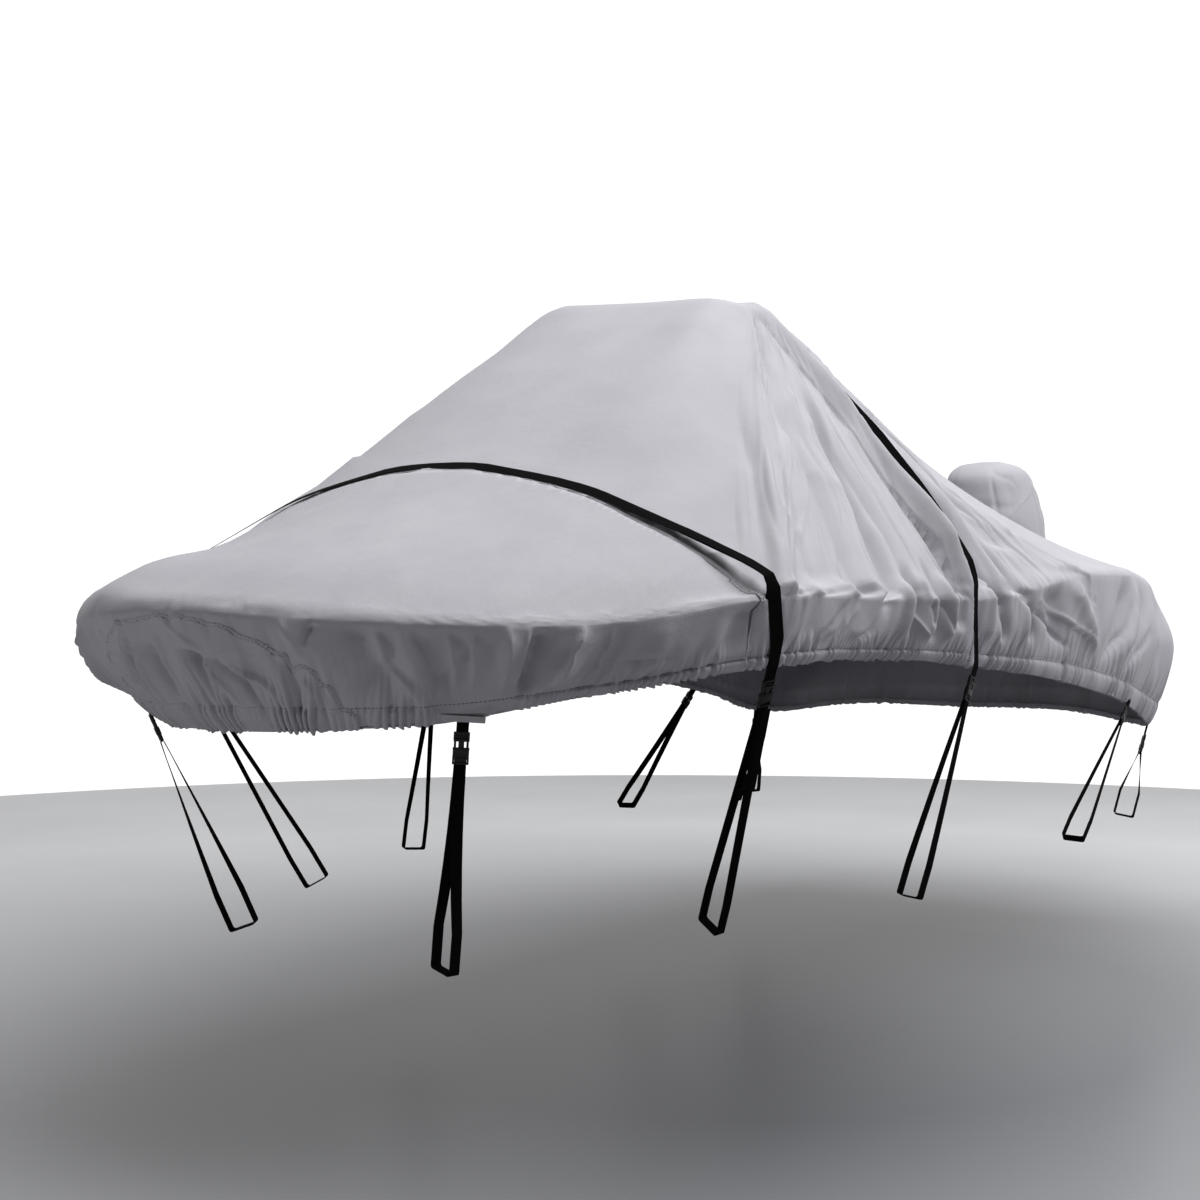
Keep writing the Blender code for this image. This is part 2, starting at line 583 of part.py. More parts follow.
def build_buckle(name, centre, frame, finish, group):
    """A closed side-release buckle: one flat body, waisted where its prongs show, with a slot at each end."""
    half_outline = [
        (.80, 1.0), (.92, .94), (.97, .60), (.95, .50), (.86, .38),
        (.86, .12), (1.0, -.04), (1.0, -.90), (.86, -1.0),
    ]
    half_outline = [(x * BUCKLE_WIDE / 2, y * BUCKLE_LONG / 2) for x, y in half_outline]
    outline = half_outline + [(-x, y) for x, y in reversed(half_outline)]
    data = bpy.data.curves.new(name, "CURVE")
    data.dimensions = "2D"
    data.fill_mode = "BOTH"
    data.extrude = BUCKLE_THICK / 2
    wide = WEB_WIDTH / 2 + 0.0005
    slots = [
        [(-wide, y), (wide, y), (wide, y + .004), (-wide, y + .004)] for y in (.0270, -.0320)
    ]
    for ring in [outline] + slots:
        spline = data.splines.new("POLY")
        spline.points.add(len(ring) - 1)
        for point, (x, y) in zip(spline.points, ring):
            point.co = (x, y, 0, 1)
        spline.use_cyclic_u = True
    data.materials.append(finish)
    piece = bpy.data.objects.new(name, data)
    across, out, up = frame
    turn = Matrix((across, up, across.cross(up))).transposed().to_4x4()
    piece.matrix_world = Matrix.Translation(centre) @ turn
    group.objects.link(piece)
    return piece


def hem_spot(hem, x, sign):
    """Where the hem crosses one station on one side, and which way it runs there."""
    side = [p for p in hem if p.y * sign > 0]
    spot = min(side, key=lambda p: abs(p.x - x))
    ahead, behind = [min(side, key=lambda p: abs(p.x - x - step)) for step in (-0.12, 0.12)]
    along = behind - ahead
    along.z = 0.0
    return spot, along.normalized()


def hem_reach(hem, origin, frame, width):
    """How far below origin the hem comes down along the webbing, within a width."""
    across, out, up = frame
    near = [p - origin for p in hem if abs((p - origin).dot(across)) < width / 2 + 0.001]
    return max(-d.dot(up) for d in near if abs(d.dot(out)) < 0.2) + CLOTH


def seat_tab(tree, top, frame):
    """Moves a hem tab's top out until its back lies on the cloth."""
    across, out, up = frame
    proud = max(
        feel_out(tree, top + across * k * WEB_WIDTH / 24 + up * TAB_SEAM * j / 12, out)
        for k in range(-13, 14) for j in range(-6, 14)
    )
    return top + out * (proud + GAP + WEB_THICK)


def strap_station(z, station, tie):
    """An over-strap keeps to its station down to the skirt, then drifts to where it passes the hem."""
    share = min(1.0, max(0.0, (z - tie["hem_z"]) / STRAP_DRIFT))
    return tie["hem_x"] + (station - tie["hem_x"]) * share


def pass_spot(tree, station, tie, foot, sign):
    """Where a strap passes the hem's height when it is pulled straight from the cloth's edge to its foot."""
    steepest = 0.0
    for k in range(160):
        z = tie["hem_z"] + 0.002 + 0.002 * k
        for step in range(-2, 3):
            x = strap_station(z, station, tie) + step * STRAP_WIDTH / 4
            hit = tree.ray_cast(Vector((x, sign * 2.0, z)), Vector((0, -sign, 0)), 1.5)[0]
            if hit is not None:
                steepest = max(steepest, (abs(hit.y) + HEM_LIFT - abs(foot.y)) / (z - foot.z))
    out = abs(foot.y) + steepest * (tie["hem_z"] - foot.z)
    return Vector((tie["hem_x"], sign * out, tie["hem_z"]))


def feel_out(tree, spot, out):
    """How far out of spot the cloth's outer face lies, along out."""
    hit = tree.ray_cast(spot + out * 0.3, -out)[0]
    return -1.0 if hit is None else (hit - spot).dot(out)


def feel_cloth(tree, x, angle):
    """The cloth's outermost point at one x, in one direction about the cover's middle."""
    middle = Vector((x, 0.0, STRAP_AXIS_Z))
    way = Vector((0.0, -math.cos(angle), math.sin(angle)))
    hit = tree.ray_cast(middle + way * 4.0, -way, 3.9)[0]
    return None if hit is None else (hit - middle).length


def taut_radii(angles, radii):
    """The radii of a band stretched over a section: its convex outline."""
    spots = [(r * math.cos(a), r * math.sin(a), k) for k, (a, r) in enumerate(zip(angles, radii))]
    chain = []
    for spot in spots:
        while len(chain) >= 2:
            (ax, ay, _), (bx, by, _) = chain[-2], chain[-1]
            if (bx - ax) * (spot[1] - by) - (by - ay) * (spot[0] - bx) > 0:
                break
            chain.pop()
        chain.append(spot)
    return [k for _, _, k in chain]


def build_over_strap(name, station, tie, ends, tree, finish, group):
    """Webbing stretched over the cover from one buckle to the other, each edge taut on the cloth under it.

    ends holds, for port and starboard, where it passes the hem, its end and the across direction there.
    """
    half = STRAP_WIDTH / 2
    offsets = np.linspace(-half, half, 19)

    def place(spot):
        return math.atan2(spot.z - STRAP_AXIS_Z, -spot.y) % (2 * math.pi), math.hypot(spot.y, spot.z - STRAP_AXIS_Z)

    # each line: angle, station, radius of the fore edge, radius of the aft edge, whether it is an end or a bend
    lines = []
    for passing, end, across in ends:
        for spot in (end, passing):
            fore, aft = place(spot - across * half), place(spot + across * half)
            lines.append((place(spot)[0], spot.x, fore[1], aft[1], True))
    first, last = lines[0][0] - 2 * math.pi, lines[2][0]
    lines[0] = (first,) + lines[0][1:]
    lines[1] = (lines[1][0] - 2 * math.pi,) + lines[1][1:]
    for k in range(1, STRAP_RAYS):
        angle = lines[1][0] + (lines[3][0] - lines[1][0]) * k / STRAP_RAYS
        x = strap_station(STRAP_AXIS_Z + math.sin(angle), station, tie)
        felt = [feel_cloth(tree, x + offset, angle) for offset in offsets]
        if None in felt:
            continue
        level = [felt[0] + (felt[-1] - felt[0]) * (offset / half + 1) / 2 for offset in offsets]
        spare = max(r - flat for r, flat in zip(felt, level)) + STRAP_LIFT
        lines.append((angle, x, felt[0] + spare, felt[-1] + spare, False))
    lines.sort()
    angles = [line[0] for line in lines]
    bends = [k for k, line in enumerate(lines) if line[4]]
    edges = []
    for edge in (2, 3):
        chain = sorted(set(taut_radii(angles, [line[edge] for line in lines])) | set(bends))
        edges.append(read_between(angles, [line[edge] for line in lines], chain))
    kept = thin_out(angles, edges, bends)
    points = []
    for k in kept:
        for side, radii in zip((-1, 1), edges):
            y, z = radii[k] * math.cos(angles[k]), radii[k] * math.sin(angles[k])
            points.append(Vector((lines[k][1] + side * half, -y, STRAP_AXIS_Z + z)))
    for (passing, end, across), spots in zip(ends, ((2, 0), (len(points) - 4, len(points) - 2))):
        for middle, spot in zip((passing, end), spots):
            points[spot] = middle - across * half
            points[spot + 1] = middle + across * half
    faces = [(2 * k, 2 * k + 1, 2 * k + 3, 2 * k + 2) for k in range(len(kept) - 1)]
    strap = add_mesh(name, points, faces, finish, group)
    if sum(p.normal.z for p in strap.data.polygons) < 0:
        strap.data.flip_normals()
    split_faces(strap)
    solidify(strap, WEB_THICK, 1.0)
    return strap


def chord_radius(angle, first, last, angles, radii):
    """How far out the straight stretch between two of the points lies, at an angle between them."""
    (ay, az), (by, bz) = [(radii[k] * math.cos(angles[k]), radii[k] * math.sin(angles[k])) for k in (first, last)]
    cross = math.cos(angle) * (bz - az) - math.sin(angle) * (by - ay)
    return (ay * (bz - az) - az * (by - ay)) / cross


def read_between(angles, radii, chain):
    """Radii at every angle of the outline that has its corners at chain."""
    read = []
    for k, angle in enumerate(angles):
        after = next(i for i, c in enumerate(chain) if c >= k)
        exact = chain[after] == k
        read.append(radii[k] if exact else chord_radius(angle, chain[after - 1], chain[after], angles, radii))
    return read


def thin_out(angles, edges, bends):
    """The fewest of the angles whose flat stretches stay within STRAP_SLACK of both edges."""
    kept = [0]
    while kept[-1] < len(angles) - 1:
        limit = min(k for k in bends if k > kept[-1])
        reach = kept[-1] + 1
        for far in range(kept[-1] + 2, limit + 1):
            sag = max(
                radii[k] - chord_radius(angles[k], kept[-1], far, angles, radii)
                for radii in edges for k in range(kept[-1] + 1, far)
            )
            twist = abs(edges[0][far] - edges[1][far] - edges[0][kept[-1]] + edges[1][kept[-1]]) / 4
            if max(sag, twist) > STRAP_SLACK:
                break
            reach = far
        kept.append(reach)
    return kept


def build_ties(group, finish, tree, hem):
    """Buckles, loops, hem tabs and patches on both sides, and the two over-straps."""
    for row in TIES:
        tie = dict(zip(TIE_COLUMNS, row))
        ends = []
        for side, sign in (("port", -1.0), ("starboard", 1.0)):
            label = f"{tie['name']}_{side}"
            foot_x, foot_y = (tie["foot_x"], tie["foot_y"]) if side == "port" else (tie["far_x"], tie["far_y"])
            foot = Vector((foot_x, sign * foot_y, FOOT_Z))
            top, along = hem_spot(hem, tie["hem_x"], sign)
            start = TAB_SEAM
            if tie["over"]:
                top = pass_spot(tree, OVER_STRAPS[tie["name"]], tie, foot, sign)
            elif tie["name"] == "fore":
                frame = tie_frame(top, foot, along)
                top = build_patch(f"patch_{label}", top, frame, tree, finish["patch"], group)
                start = -TAB_CLEAR
            else:
                top = seat_tab(tree, top, tie_frame(top, foot, along))
            frame = tie_frame(top, foot, along)
            foot_frame = tie_frame(top, foot, Vector((1.0, sign * tie["lie"], 0.0)))
            across, out, up = frame
            reach = hem_reach(hem, top, frame, WEB_WIDTH)
            centre = top - up * (reach + tie["drop"])
            build_buckle(f"buckle_{label}", centre, frame, finish["buckle"], group)
            buckle_top = centre + up * (BUCKLE_LONG / 2 + GAP)
            ends.append((top, buckle_top, across if across.x > 0 else -across))
            neck = centre - up * (BUCKLE_LONG / 2 + GAP + WEB_THICK / 2)
            build_loop(f"loop_{label}", neck, foot, frame, foot_frame, finish["webbing"], group)
            if not tie["over"]:
                build_tab(f"tab_{label}", top + up * start, buckle_top, frame, finish["webbing"], group)
        if tie["over"]:
            station = OVER_STRAPS[tie["name"]]
            build_over_strap(f"strap_{tie['name']}", station, tie, ends, tree, finish["webbing"], group)


def build_tab(name, start, end, frame, finish, group):
    """A short doubled length of webbing from the hem to its buckle."""
    across, out, up = frame
    length = (start - end).dot(up)
    bpy.ops.mesh.primitive_cube_add(size=1.0)
    tab = bpy.context.active_object
    tab.name = name
    size = Matrix.Diagonal((WEB_WIDTH, 2 * WEB_THICK, length, 1.0))
    tab.data.transform(Matrix.Translation((0, 0, length / 2)) @ size)
    tab.matrix_world = frame_matrix(end, across, out, up)
    finish_box(tab, finish, group)
    return tab


def build_patch(name, top, frame, tree, finish, group):
    """A stiff flat patch stitched on the hem, which holds the webbing in its lower edge; it leans with the cloth.

    Returns the middle of its lower edge.
    """
    across, out, up = frame
    lows, highs = [
        max(feel_out(tree, top + across * k * PATCH_WIDE / 12 + up * level, out) for k in range(-6, 7))
        for level in (0.002, PATCH_TALL - PATCH_DROP)
    ]
    lean = (up * (PATCH_TALL - PATCH_DROP - 0.002) + out * (highs - lows)).normalized()
    face = across.cross(lean) if across.cross(lean).dot(out) > 0 else lean.cross(across)
    low_edge = top + out * lows - lean * PATCH_DROP
    proud = max(
        feel_out(tree, low_edge + across * k * PATCH_WIDE / 48 + lean * PATCH_TALL * j / 12, face)
        for k in range(-25, 26) for j in range(-1, 14)
    )
    low_edge += face * (proud + 2 * GAP + PATCH_THICK / 2)
    bpy.ops.mesh.primitive_cube_add(size=1.0)
    patch = bpy.context.active_object
    patch.name = name
    patch.data.transform(Matrix.Diagonal((PATCH_WIDE, PATCH_THICK, PATCH_TALL, 1.0)))
    patch.matrix_world = frame_matrix(low_edge + lean * PATCH_TALL / 2, face.cross(lean), face, lean)
    finish_box(patch, finish, group)
    return low_edge


def finish_box(piece, finish, group):
    piece.data.materials.append(finish)
    for old in list(piece.users_collection):
        old.objects.unlink(piece)
    group.objects.link(piece)


# ---------------------------------------------------------------- the cover
def main():
    clear_scene()
    group = new_collection(COLLECTION)
    cutters = new_collection("cutters")
    finish = {
        "cloth": material("coated_polyester", (0.49, 0.48, 0.50), 0.55),
        "webbing": material("polypropylene_webbing", (0.012, 0.012, 0.013), 0.70),
        "buckle": material("acetal_buckle", (0.010, 0.010, 0.011), 0.40),
        "patch": material("hem_patch", (0.47, 0.46, 0.48), 0.60),
    }
    tree, hem = build_panels(group, cutters, finish["cloth"])
    build_hood(group, finish["cloth"], tree)
    build_ties(group, finish, tree, hem)


main()
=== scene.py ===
import math

import bmesh
import bpy
import numpy as np
from mathutils import Matrix, Vector
from mathutils.bvhtree import BVHTree


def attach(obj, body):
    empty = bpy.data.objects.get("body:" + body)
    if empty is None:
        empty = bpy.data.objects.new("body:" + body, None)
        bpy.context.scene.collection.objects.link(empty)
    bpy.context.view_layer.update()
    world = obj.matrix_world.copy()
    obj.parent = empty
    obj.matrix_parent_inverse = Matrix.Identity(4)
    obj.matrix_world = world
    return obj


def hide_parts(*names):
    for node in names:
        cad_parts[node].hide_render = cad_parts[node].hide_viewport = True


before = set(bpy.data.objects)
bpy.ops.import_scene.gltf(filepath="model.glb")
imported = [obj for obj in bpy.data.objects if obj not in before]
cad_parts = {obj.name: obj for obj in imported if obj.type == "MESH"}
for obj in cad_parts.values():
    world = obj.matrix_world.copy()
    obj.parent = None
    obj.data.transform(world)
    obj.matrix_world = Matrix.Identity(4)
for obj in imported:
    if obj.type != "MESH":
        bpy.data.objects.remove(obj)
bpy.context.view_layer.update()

# -------------------- camera
# A level camera with a 54 mm lens, off the port bow, as high as the cover's edge line.
bpy.ops.object.select_all(action="DESELECT")
bpy.ops.object.camera_add(location=(-4.885, -2.998, -0.93))
camera = bpy.context.active_object
camera.data.lens = 54.0
camera.data.sensor_width = 36.0
camera.data.sensor_fit = "HORIZONTAL"
camera.data.clip_end = 200.0
camera.rotation_euler = Vector((0.837, 0.5476, 0.0)).to_track_quat("-Z", "Y").to_euler()
bpy.context.scene.camera = camera

# -------------------- floor and light
# A plain floor of polished pale concrete below the part, dark grey round its middle as painted shade under the
# part; a wide soft light above it, weaker ones at its sides, and a white surround that the camera sees and that
# glossy surfaces mirror.
FLOOR_Z = -2.249
FLOOR_RADIUS = 7.5
FLOOR_PAINTED_SHADE = {"From Min": 1.5, "From Max": 4.5}  # metres from the floor's middle over which its painted shade fades to the pale concrete
MIRRORED, UNSEEN = 0.70, 0.02  # the surround's strength where it is mirrored, and elsewhere
LIGHTS = [  # place, aim, width and height in metres, watts
    ((0.6, -2.4, 6.3), (0.6, -1.1, -1.0), (10.0, 7.4), 930.0),
    ((7.0, -6.5, 1.2), (1.8, -0.6, -0.7), (3.0, 3.0), 230.0),
    ((4.5, 9.0, 0.4), (1.5, 0.0, -0.4), (22.0, 5.0), 260.0),
    ((-7.6, 3.0, -1.0), (-1.7, -0.5, -1.1), (0.8, 0.8), 55.0),
]
bpy.ops.mesh.primitive_circle_add(vertices=128, radius=FLOOR_RADIUS, fill_type="NGON", location=(0.4, 0, FLOOR_Z))
floor = bpy.context.active_object
floor.name = "floor"


def linear(code):
    """An sRGB hex colour as linear red, green, blue and alpha."""
    parts = [int(code[k:k + 2], 16) / 255 for k in (0, 2, 4)]
    return tuple(c / 12.92 if c <= 0.04045 else ((c + 0.055) / 1.055) ** 2.4 for c in parts) + (1.0,)


def link(holder, source, target):
    holder.node_tree.links.new(source, target)


def add_node(holder, kind, settings=(), **links):
    """A node of a material or the world: settings are attributes and unlinked sockets, links are linked ones."""
    node = holder.node_tree.nodes.new(kind)
    for key, value in dict(settings).items():
        if isinstance(key, int) or key in node.inputs:
            node.inputs[key].default_value = value
        else:
            setattr(node, key, value)
    for key, source in links.items():
        link(holder, source, node.inputs[int(key[1:])] if key[0] == "_" else node.inputs[key])
    return node


def blend(holder, share, low=None, high=None, **links):
    """Colours mixed by share: low and high are hex codes, or linked as _6 and _7."""
    colours = {k: linear(code) for k, code in ((6, low), (7, high)) if code}
    return add_node(holder, "ShaderNodeMix", {"data_type": "RGBA", **colours}, _0=share, **links).outputs[2]


def bump(holder, height, strength, distance, **links):
    settings = {"Strength": strength, "Distance": distance}
    return add_node(holder, "ShaderNodeBump", settings, Height=height, **links).outputs["Normal"]


def new_finish(name, colour, roughness, tones, scale, detail=2.0, grain=None, **sockets):
    """A Principled material: noise runs its colour between two tones, and grain is the strength and distance of
    that noise as a bump. Each of sockets is set on the shader. Returns it with its shader and noise coordinates."""
    finish = bpy.data.materials.new(name)
    finish.use_nodes = True
    shader = finish.node_tree.nodes["Principled BSDF"]
    shader.inputs["Base Color"].default_value = linear(colour)
    shader.inputs["Roughness"].default_value = roughness
    for socket, value in sockets.items():
        shader.inputs[socket.replace("_", " ")].default_value = value
    place = add_node(finish, "ShaderNodeTexCoord").outputs["Object"]
    noise = add_node(finish, "ShaderNodeTexNoise", {"Scale": scale, "Detail": detail}, Vector=place)
    noise = noise.outputs["Fac"]
    link(finish, blend(finish, noise, *tones), shader.inputs["Base Color"])
    if grain:
        link(finish, bump(finish, noise, *grain), shader.inputs["Normal"])
    return finish, shader, place


concrete, shader, place = new_finish("polished_pale_concrete", "C8C9CC", 0.30, ("C4C5C8", "DCDDDF"), 0.9, 6.0)
mottled = shader.inputs["Base Color"].links[0].from_socket
# painted shade: the floor's colour runs from dark grey at its middle, under the part, out to the pale mottled
# concrete
middle = add_node(concrete, "ShaderNodeVectorMath", {"operation": "LENGTH"}, _0=place)
painted_shade = add_node(concrete, "ShaderNodeMapRange", FLOOR_PAINTED_SHADE, Value=middle.outputs["Value"])
link(concrete, blend(concrete, painted_shade.outputs["Result"], "7A7B7F", _7=mottled), shader.inputs["Base Color"])
floor.data.materials.append(concrete)

world = bpy.data.worlds.new("studio")
bpy.context.scene.world = world
world.use_nodes = True
surround = world.node_tree.nodes["Background"]
surround.inputs["Color"].default_value = linear("FFFFFF")
rays = add_node(world, "ShaderNodeLightPath").outputs
straight = add_node(world, "ShaderNodeMath", {"operation": "SUBTRACT", "use_clamp": True},
                    _0=rays["Is Glossy Ray"], _1=rays["Diffuse Depth"])
shine = add_node(world, "ShaderNodeMath", {"operation": "MULTIPLY_ADD", 1: MIRRORED, 2: UNSEEN},
                 _0=straight.outputs[0])
bright = add_node(world, "ShaderNodeMath", {"operation": "MAXIMUM"},
                  _0=shine.outputs[0], _1=rays["Is Camera Ray"])
link(world, bright.outputs[0], surround.inputs["Strength"])

for spot, aim, size, power in LIGHTS:
    bpy.ops.object.light_add(type="AREA", location=spot)
    light = bpy.context.active_object
    light.data.shape = "RECTANGLE"
    light.data.size, light.data.size_y = size
    light.data.energy = power
    light.visible_glossy = spot == LIGHTS[0][0]  # only the light above is mirrored
    light.rotation_euler = (Vector(aim) - Vector(spot)).to_track_quat("-Z", "X").to_euler()
bpy.context.scene.view_settings.view_transform = "Standard"
bpy.context.scene.view_settings.exposure = 0.14
bpy.context.scene.view_settings.gamma = 0.88

# -------------------- cover cloth
# Four sewn panels of coated polyester, drawn tight by an elastic hem: the same sections and main folds as the
# solids, then the finer creases, the gathers of the hem and the puckered seams. They part at the maker's seams.
CLOTH = 0.002  # the flat top's height over the origin: the solids' thickness
CLOTH_THICK = 0.0012  # thickness of the sheets here
TOP_TILT = 0.044  # fall of the flat top, metres a metre to port
SEAM_FORE_X, SEAM_AFT_X = -1.147, 0.125
GORE_START = np.array([-2.103, 0.0, -0.958])  # the gore's seam starts here at the bow, in a plane
GORE_FALL = 0.80  # that falls this much a metre aft
GORE_UP = np.array(Matrix.Rotation(math.atan(GORE_FALL), 3, "Y") @ Vector((0, 0, 1)))
GORE_HALF = 1.3  # half its length, along the edge line
RIM_ROW = 0.035  # the rows over which the cloth turns over the flat top's rim
RIM_IN = 0.12  # how far in from the rim that turn starts, as a share
GATHER_ROW = 2.35  # the row where the hem's ruffles run out upward
CASING_ROW = 2.83  # the row along which the elastic's casing is sewn
HEM_ROLL = 0.004  # radius of the turned-in hem
FINE_PITCH, BROAD_PITCH = 0.0195, 0.057  # of the hem's ruffles
PATCH_S = 0.77  # where the fore patches are, along the edge line
SECTION_COLUMNS = (
    "x half z x_top half_top z20 z40 z60 z80 z94 roll_in roll_up belly_out belly_down hem_in hem_down"
).split()
SECTIONS = np.array([
    (-2.10, 0.00, -.957, -.110, .000, -.227, -.454, -.645, -.785, -.866, .048, .046, -.040, .08, .200, .268),
    (-2.07, 0.20, -.963, -.110, .080, -.225, -.450, -.643, -.785, -.868, .048, .046, -.040, .08, .200, .262),
    (-1.955, 0.41, -.977, -.120, .160, -.223, -.446, -.642, -.786, -.882, .042, .042, -.040, .08, .200, .243),
    (-1.79, 0.605, -.987, -.130, .240, -.206, -.422, -.640, -.797, -.902, .028, .030, -.035, .08, .170, .218),
    (-1.50, 0.80, -.986, -.120, .310, -.180, -.388, -.605, -.782, -.896, .024, .028, -.030, .08, .110, .164),
    (-1.12, 1.02, -.928, .020, .338, -.190, -.368, -.540, -.710, -.836, .022, .028, -.018, .07, .050, .162),
    (-0.40, 1.04, -.930, .080, .336, -.182, -.360, -.535, -.715, -.840, .026, .040, -.018, .07, .070, .155),
    (0.30, 1.05, -.925, .105, .330, -.145, -.300, -.465, -.645, -.790, .045, .070, -.012, .08, .060, .205),
    (1.20, 1.02, -.850, .108, .325, -.205, -.410, -.580, -.720, -.800, .040, .030, .000, .15, .040, .370),
    (2.00, 0.96, -.860, .110, .320, -.222, -.447, -.606, -.725, -.785, .080, .055, .040, .22, .030, .480),
    (2.38, 0.89, -.900, .111, .310, -.232, -.455, -.625, -.745, -.800, .120, .080, .085, .22, .020, .530),
    (2.52, 0.78, -.890, .112, .290, -.245, -.475, -.648, -.770, -.815, .080, .060, .090, .22, .020, .540),
    (2.58, 0.58, -.870, .112, .220, -.265, -.500, -.662, -.776, -.820, .050, .040, .060, .22, .040, .530),
    (2.60, 0.00, -.870, .112, .000, -.280, -.515, -.672, -.780, -.824, .040, .035, .040, .22, .060, .520),
])

# Folds that the solids have too. s: metres along the edge line from the bow centre, at the flat top, at the edge
# and at the hem. first, last: the rows they run between (0 rim of the top, 1 to 2 over the edge, 3 hem). width:
# half width at the edge. depth: how far they stand out of the cloth, or go into it where negative.
FOLD_COLUMNS = "s_top s_edge s_hem first last width depth".split()
PORT_FOLDS = [
    (1.20, 1.50, 1.46, 0.05, 1.00, .110, -.022),
    (1.50, 1.57, 1.50, 0.00, 1.40, .040, .022),
    (1.66, 1.82, 1.80, 0.04, 0.98, .085, -.034),
    (1.80, 1.95, 1.90, 0.20, 1.30, .050, -.020),
    (1.93, 2.05, 1.88, 0.15, 2.95, .045, .016),
    (2.24, 2.14, 1.97, 0.30, 2.98, .034, -.040),
    (2.36, 2.33, 2.30, 0.25, 1.10, .080, .016),
    (2.66, 2.60, 2.66, 0.35, 2.40, .038, -.020),
    (2.73, 2.69, 2.68, 0.25, 1.30, .028, .026),
    (2.80, 2.74, 2.76, 0.30, 2.98, .026, -.020),
    (2.80, 2.90, 3.02, 0.55, 2.60, .034, -.040),
    (2.92, 3.00, 3.05, 0.60, 1.30, .045, .014),
    (3.00, 3.08, 3.30, 0.80, 2.60, .036, -.026),
    (3.00, 3.40, 3.60, 0.30, 0.90, .110, -.030),
    (3.30, 3.75, 3.90, 0.60, 1.20, .110, .018),
    (0.05, 0.05, -.12, 1.60, 3.00, .050, -.022),
    (0.17, 0.17, 0.26, 1.80, 3.00, .050, -.026),
    (0.30, 0.30, 0.42, 1.70, 3.00, .045, .020),
    (0.46, 0.46, 0.58, 1.80, 2.95, .050, -.024),
    (0.56, 0.56, 0.64, 1.90, 3.00, .035, .018),
    (0.68, 0.68, 0.72, 2.00, 3.00, .060, -.014),
    (0.84, 0.84, 0.82, 1.90, 2.98, .028, .014),
    (0.90, 0.90, 0.87, 1.90, 2.98, .030, -.018),
    (1.03, 1.03, 0.94, 1.80, 2.98, .035, .016),
    (1.12, 1.12, 1.01, 1.80, 2.98, .035, -.014),
    (1.24, 1.24, 1.12, 1.80, 2.98, .040, .012),
    (1.43, 1.43, 1.38, 1.90, 3.00, .050, -.026),
    (1.66, 1.66, 1.50, 1.20, 2.95, .036, .013),
    (1.75, 1.75, 1.60, 1.30, 2.95, .036, -.013),
    (1.85, 1.85, 1.69, 1.20, 2.95, .036, .014),
    (1.96, 1.96, 1.80, 1.30, 2.95, .034, -.012),
    (2.22, 2.22, 2.24, 1.10, 2.98, .030, .018),
    (2.29, 2.29, 2.34, 0.98, 2.85, .028, -.024),
    (2.36, 2.37, 2.42, 1.10, 2.98, .028, .018),
    (2.45, 2.45, 2.49, 0.97, 2.85, .028, -.026),
    (2.52, 2.52, 2.56, 1.10, 2.98, .026, .018),
    (2.83, 2.83, 2.84, 1.30, 2.98, .024, .014),
    (2.96, 2.97, 2.94, 1.60, 2.98, .026, .014),
    (3.14, 3.16, 3.14, 1.80, 2.98, .034, .018),
    (3.22, 3.28, 3.62, 1.85, 2.90, .095, -.034),
    (3.40, 3.46, 4.02, 2.00, 2.98, .070, .026),
    (4.50, 4.50, 3.95, 1.90, 2.95, .075, -.036),
    (4.60, 4.62, 4.12, 1.90, 2.98, .060, .020),
    (4.75, 4.75, 4.25, 2.05, 2.98, .065, -.034),
    (4.92, 4.90, 4.70, 2.00, 2.98, .055, -.022),
    (5.20, 5.20, 5.10, 2.00, 3.00, .060, -.020),
    (5.40, 5.40, 5.42, 2.00, 3.00, .060, .014),
]
STARBOARD_FOLDS = [
    (1.15, 1.42, 1.40, 0.05, 1.00, .120, -.020),
    (1.48, 1.55, 1.50, 0.00, 1.40, .045, .020),
    (1.70, 1.84, 1.78, 0.05, 0.98, .090, -.030),
    (1.95, 2.00, 1.86, 0.15, 2.95, .050, .016),
    (2.20, 2.18, 2.05, 0.30, 2.98, .045, -.034),
    (2.40, 2.38, 2.34, 0.25, 1.20, .070, .014),
    (2.62, 2.58, 2.62, 0.35, 2.50, .055, -.044),
    (2.80, 2.74, 2.76, 0.30, 2.98, .030, -.018),
    (2.84, 2.93, 3.00, 0.55, 2.60, .045, -.034),
    (3.02, 3.36, 3.55, 0.30, 0.95, .120, -.028),
    (3.35, 3.70, 3.90, 0.60, 1.20, .110, .016),
    (0.24, 0.24, 0.36, 1.70, 3.00, .060, -.024),
    (0.48, 0.48, 0.60, 1.80, 3.00, .060, .020),
    (0.74, 0.74, 0.80, 1.90, 2.98, .060, -.018),
    (0.98, 0.98, 0.90, 1.80, 2.98, .050, .015),
    (1.22, 1.22, 1.10, 1.80, 2.98, .055, -.015),
    (1.68, 1.68, 1.54, 1.20, 2.95, .050, .014),
    (1.82, 1.82, 1.66, 1.30, 2.95, .050, -.014),
    (2.30, 2.30, 2.34, 1.00, 2.90, .045, .018),
    (2.44, 2.44, 2.48, 0.97, 2.85, .045, -.024),
    (3.05, 3.08, 3.12, 1.50, 2.98, .050, .016),
    (3.30, 3.36, 3.66, 1.90, 2.90, .110, -.050),
    (3.62, 3.70, 4.10, 2.00, 2.98, .080, .024),
    (4.48, 4.48, 4.02, 1.90, 2.95, .085, -.034),
    (4.80, 4.80, 4.40, 2.05, 2.98, .080, -.030),
    (5.30, 5.30, 5.25, 2.00, 3.00, .075, -.020),
]
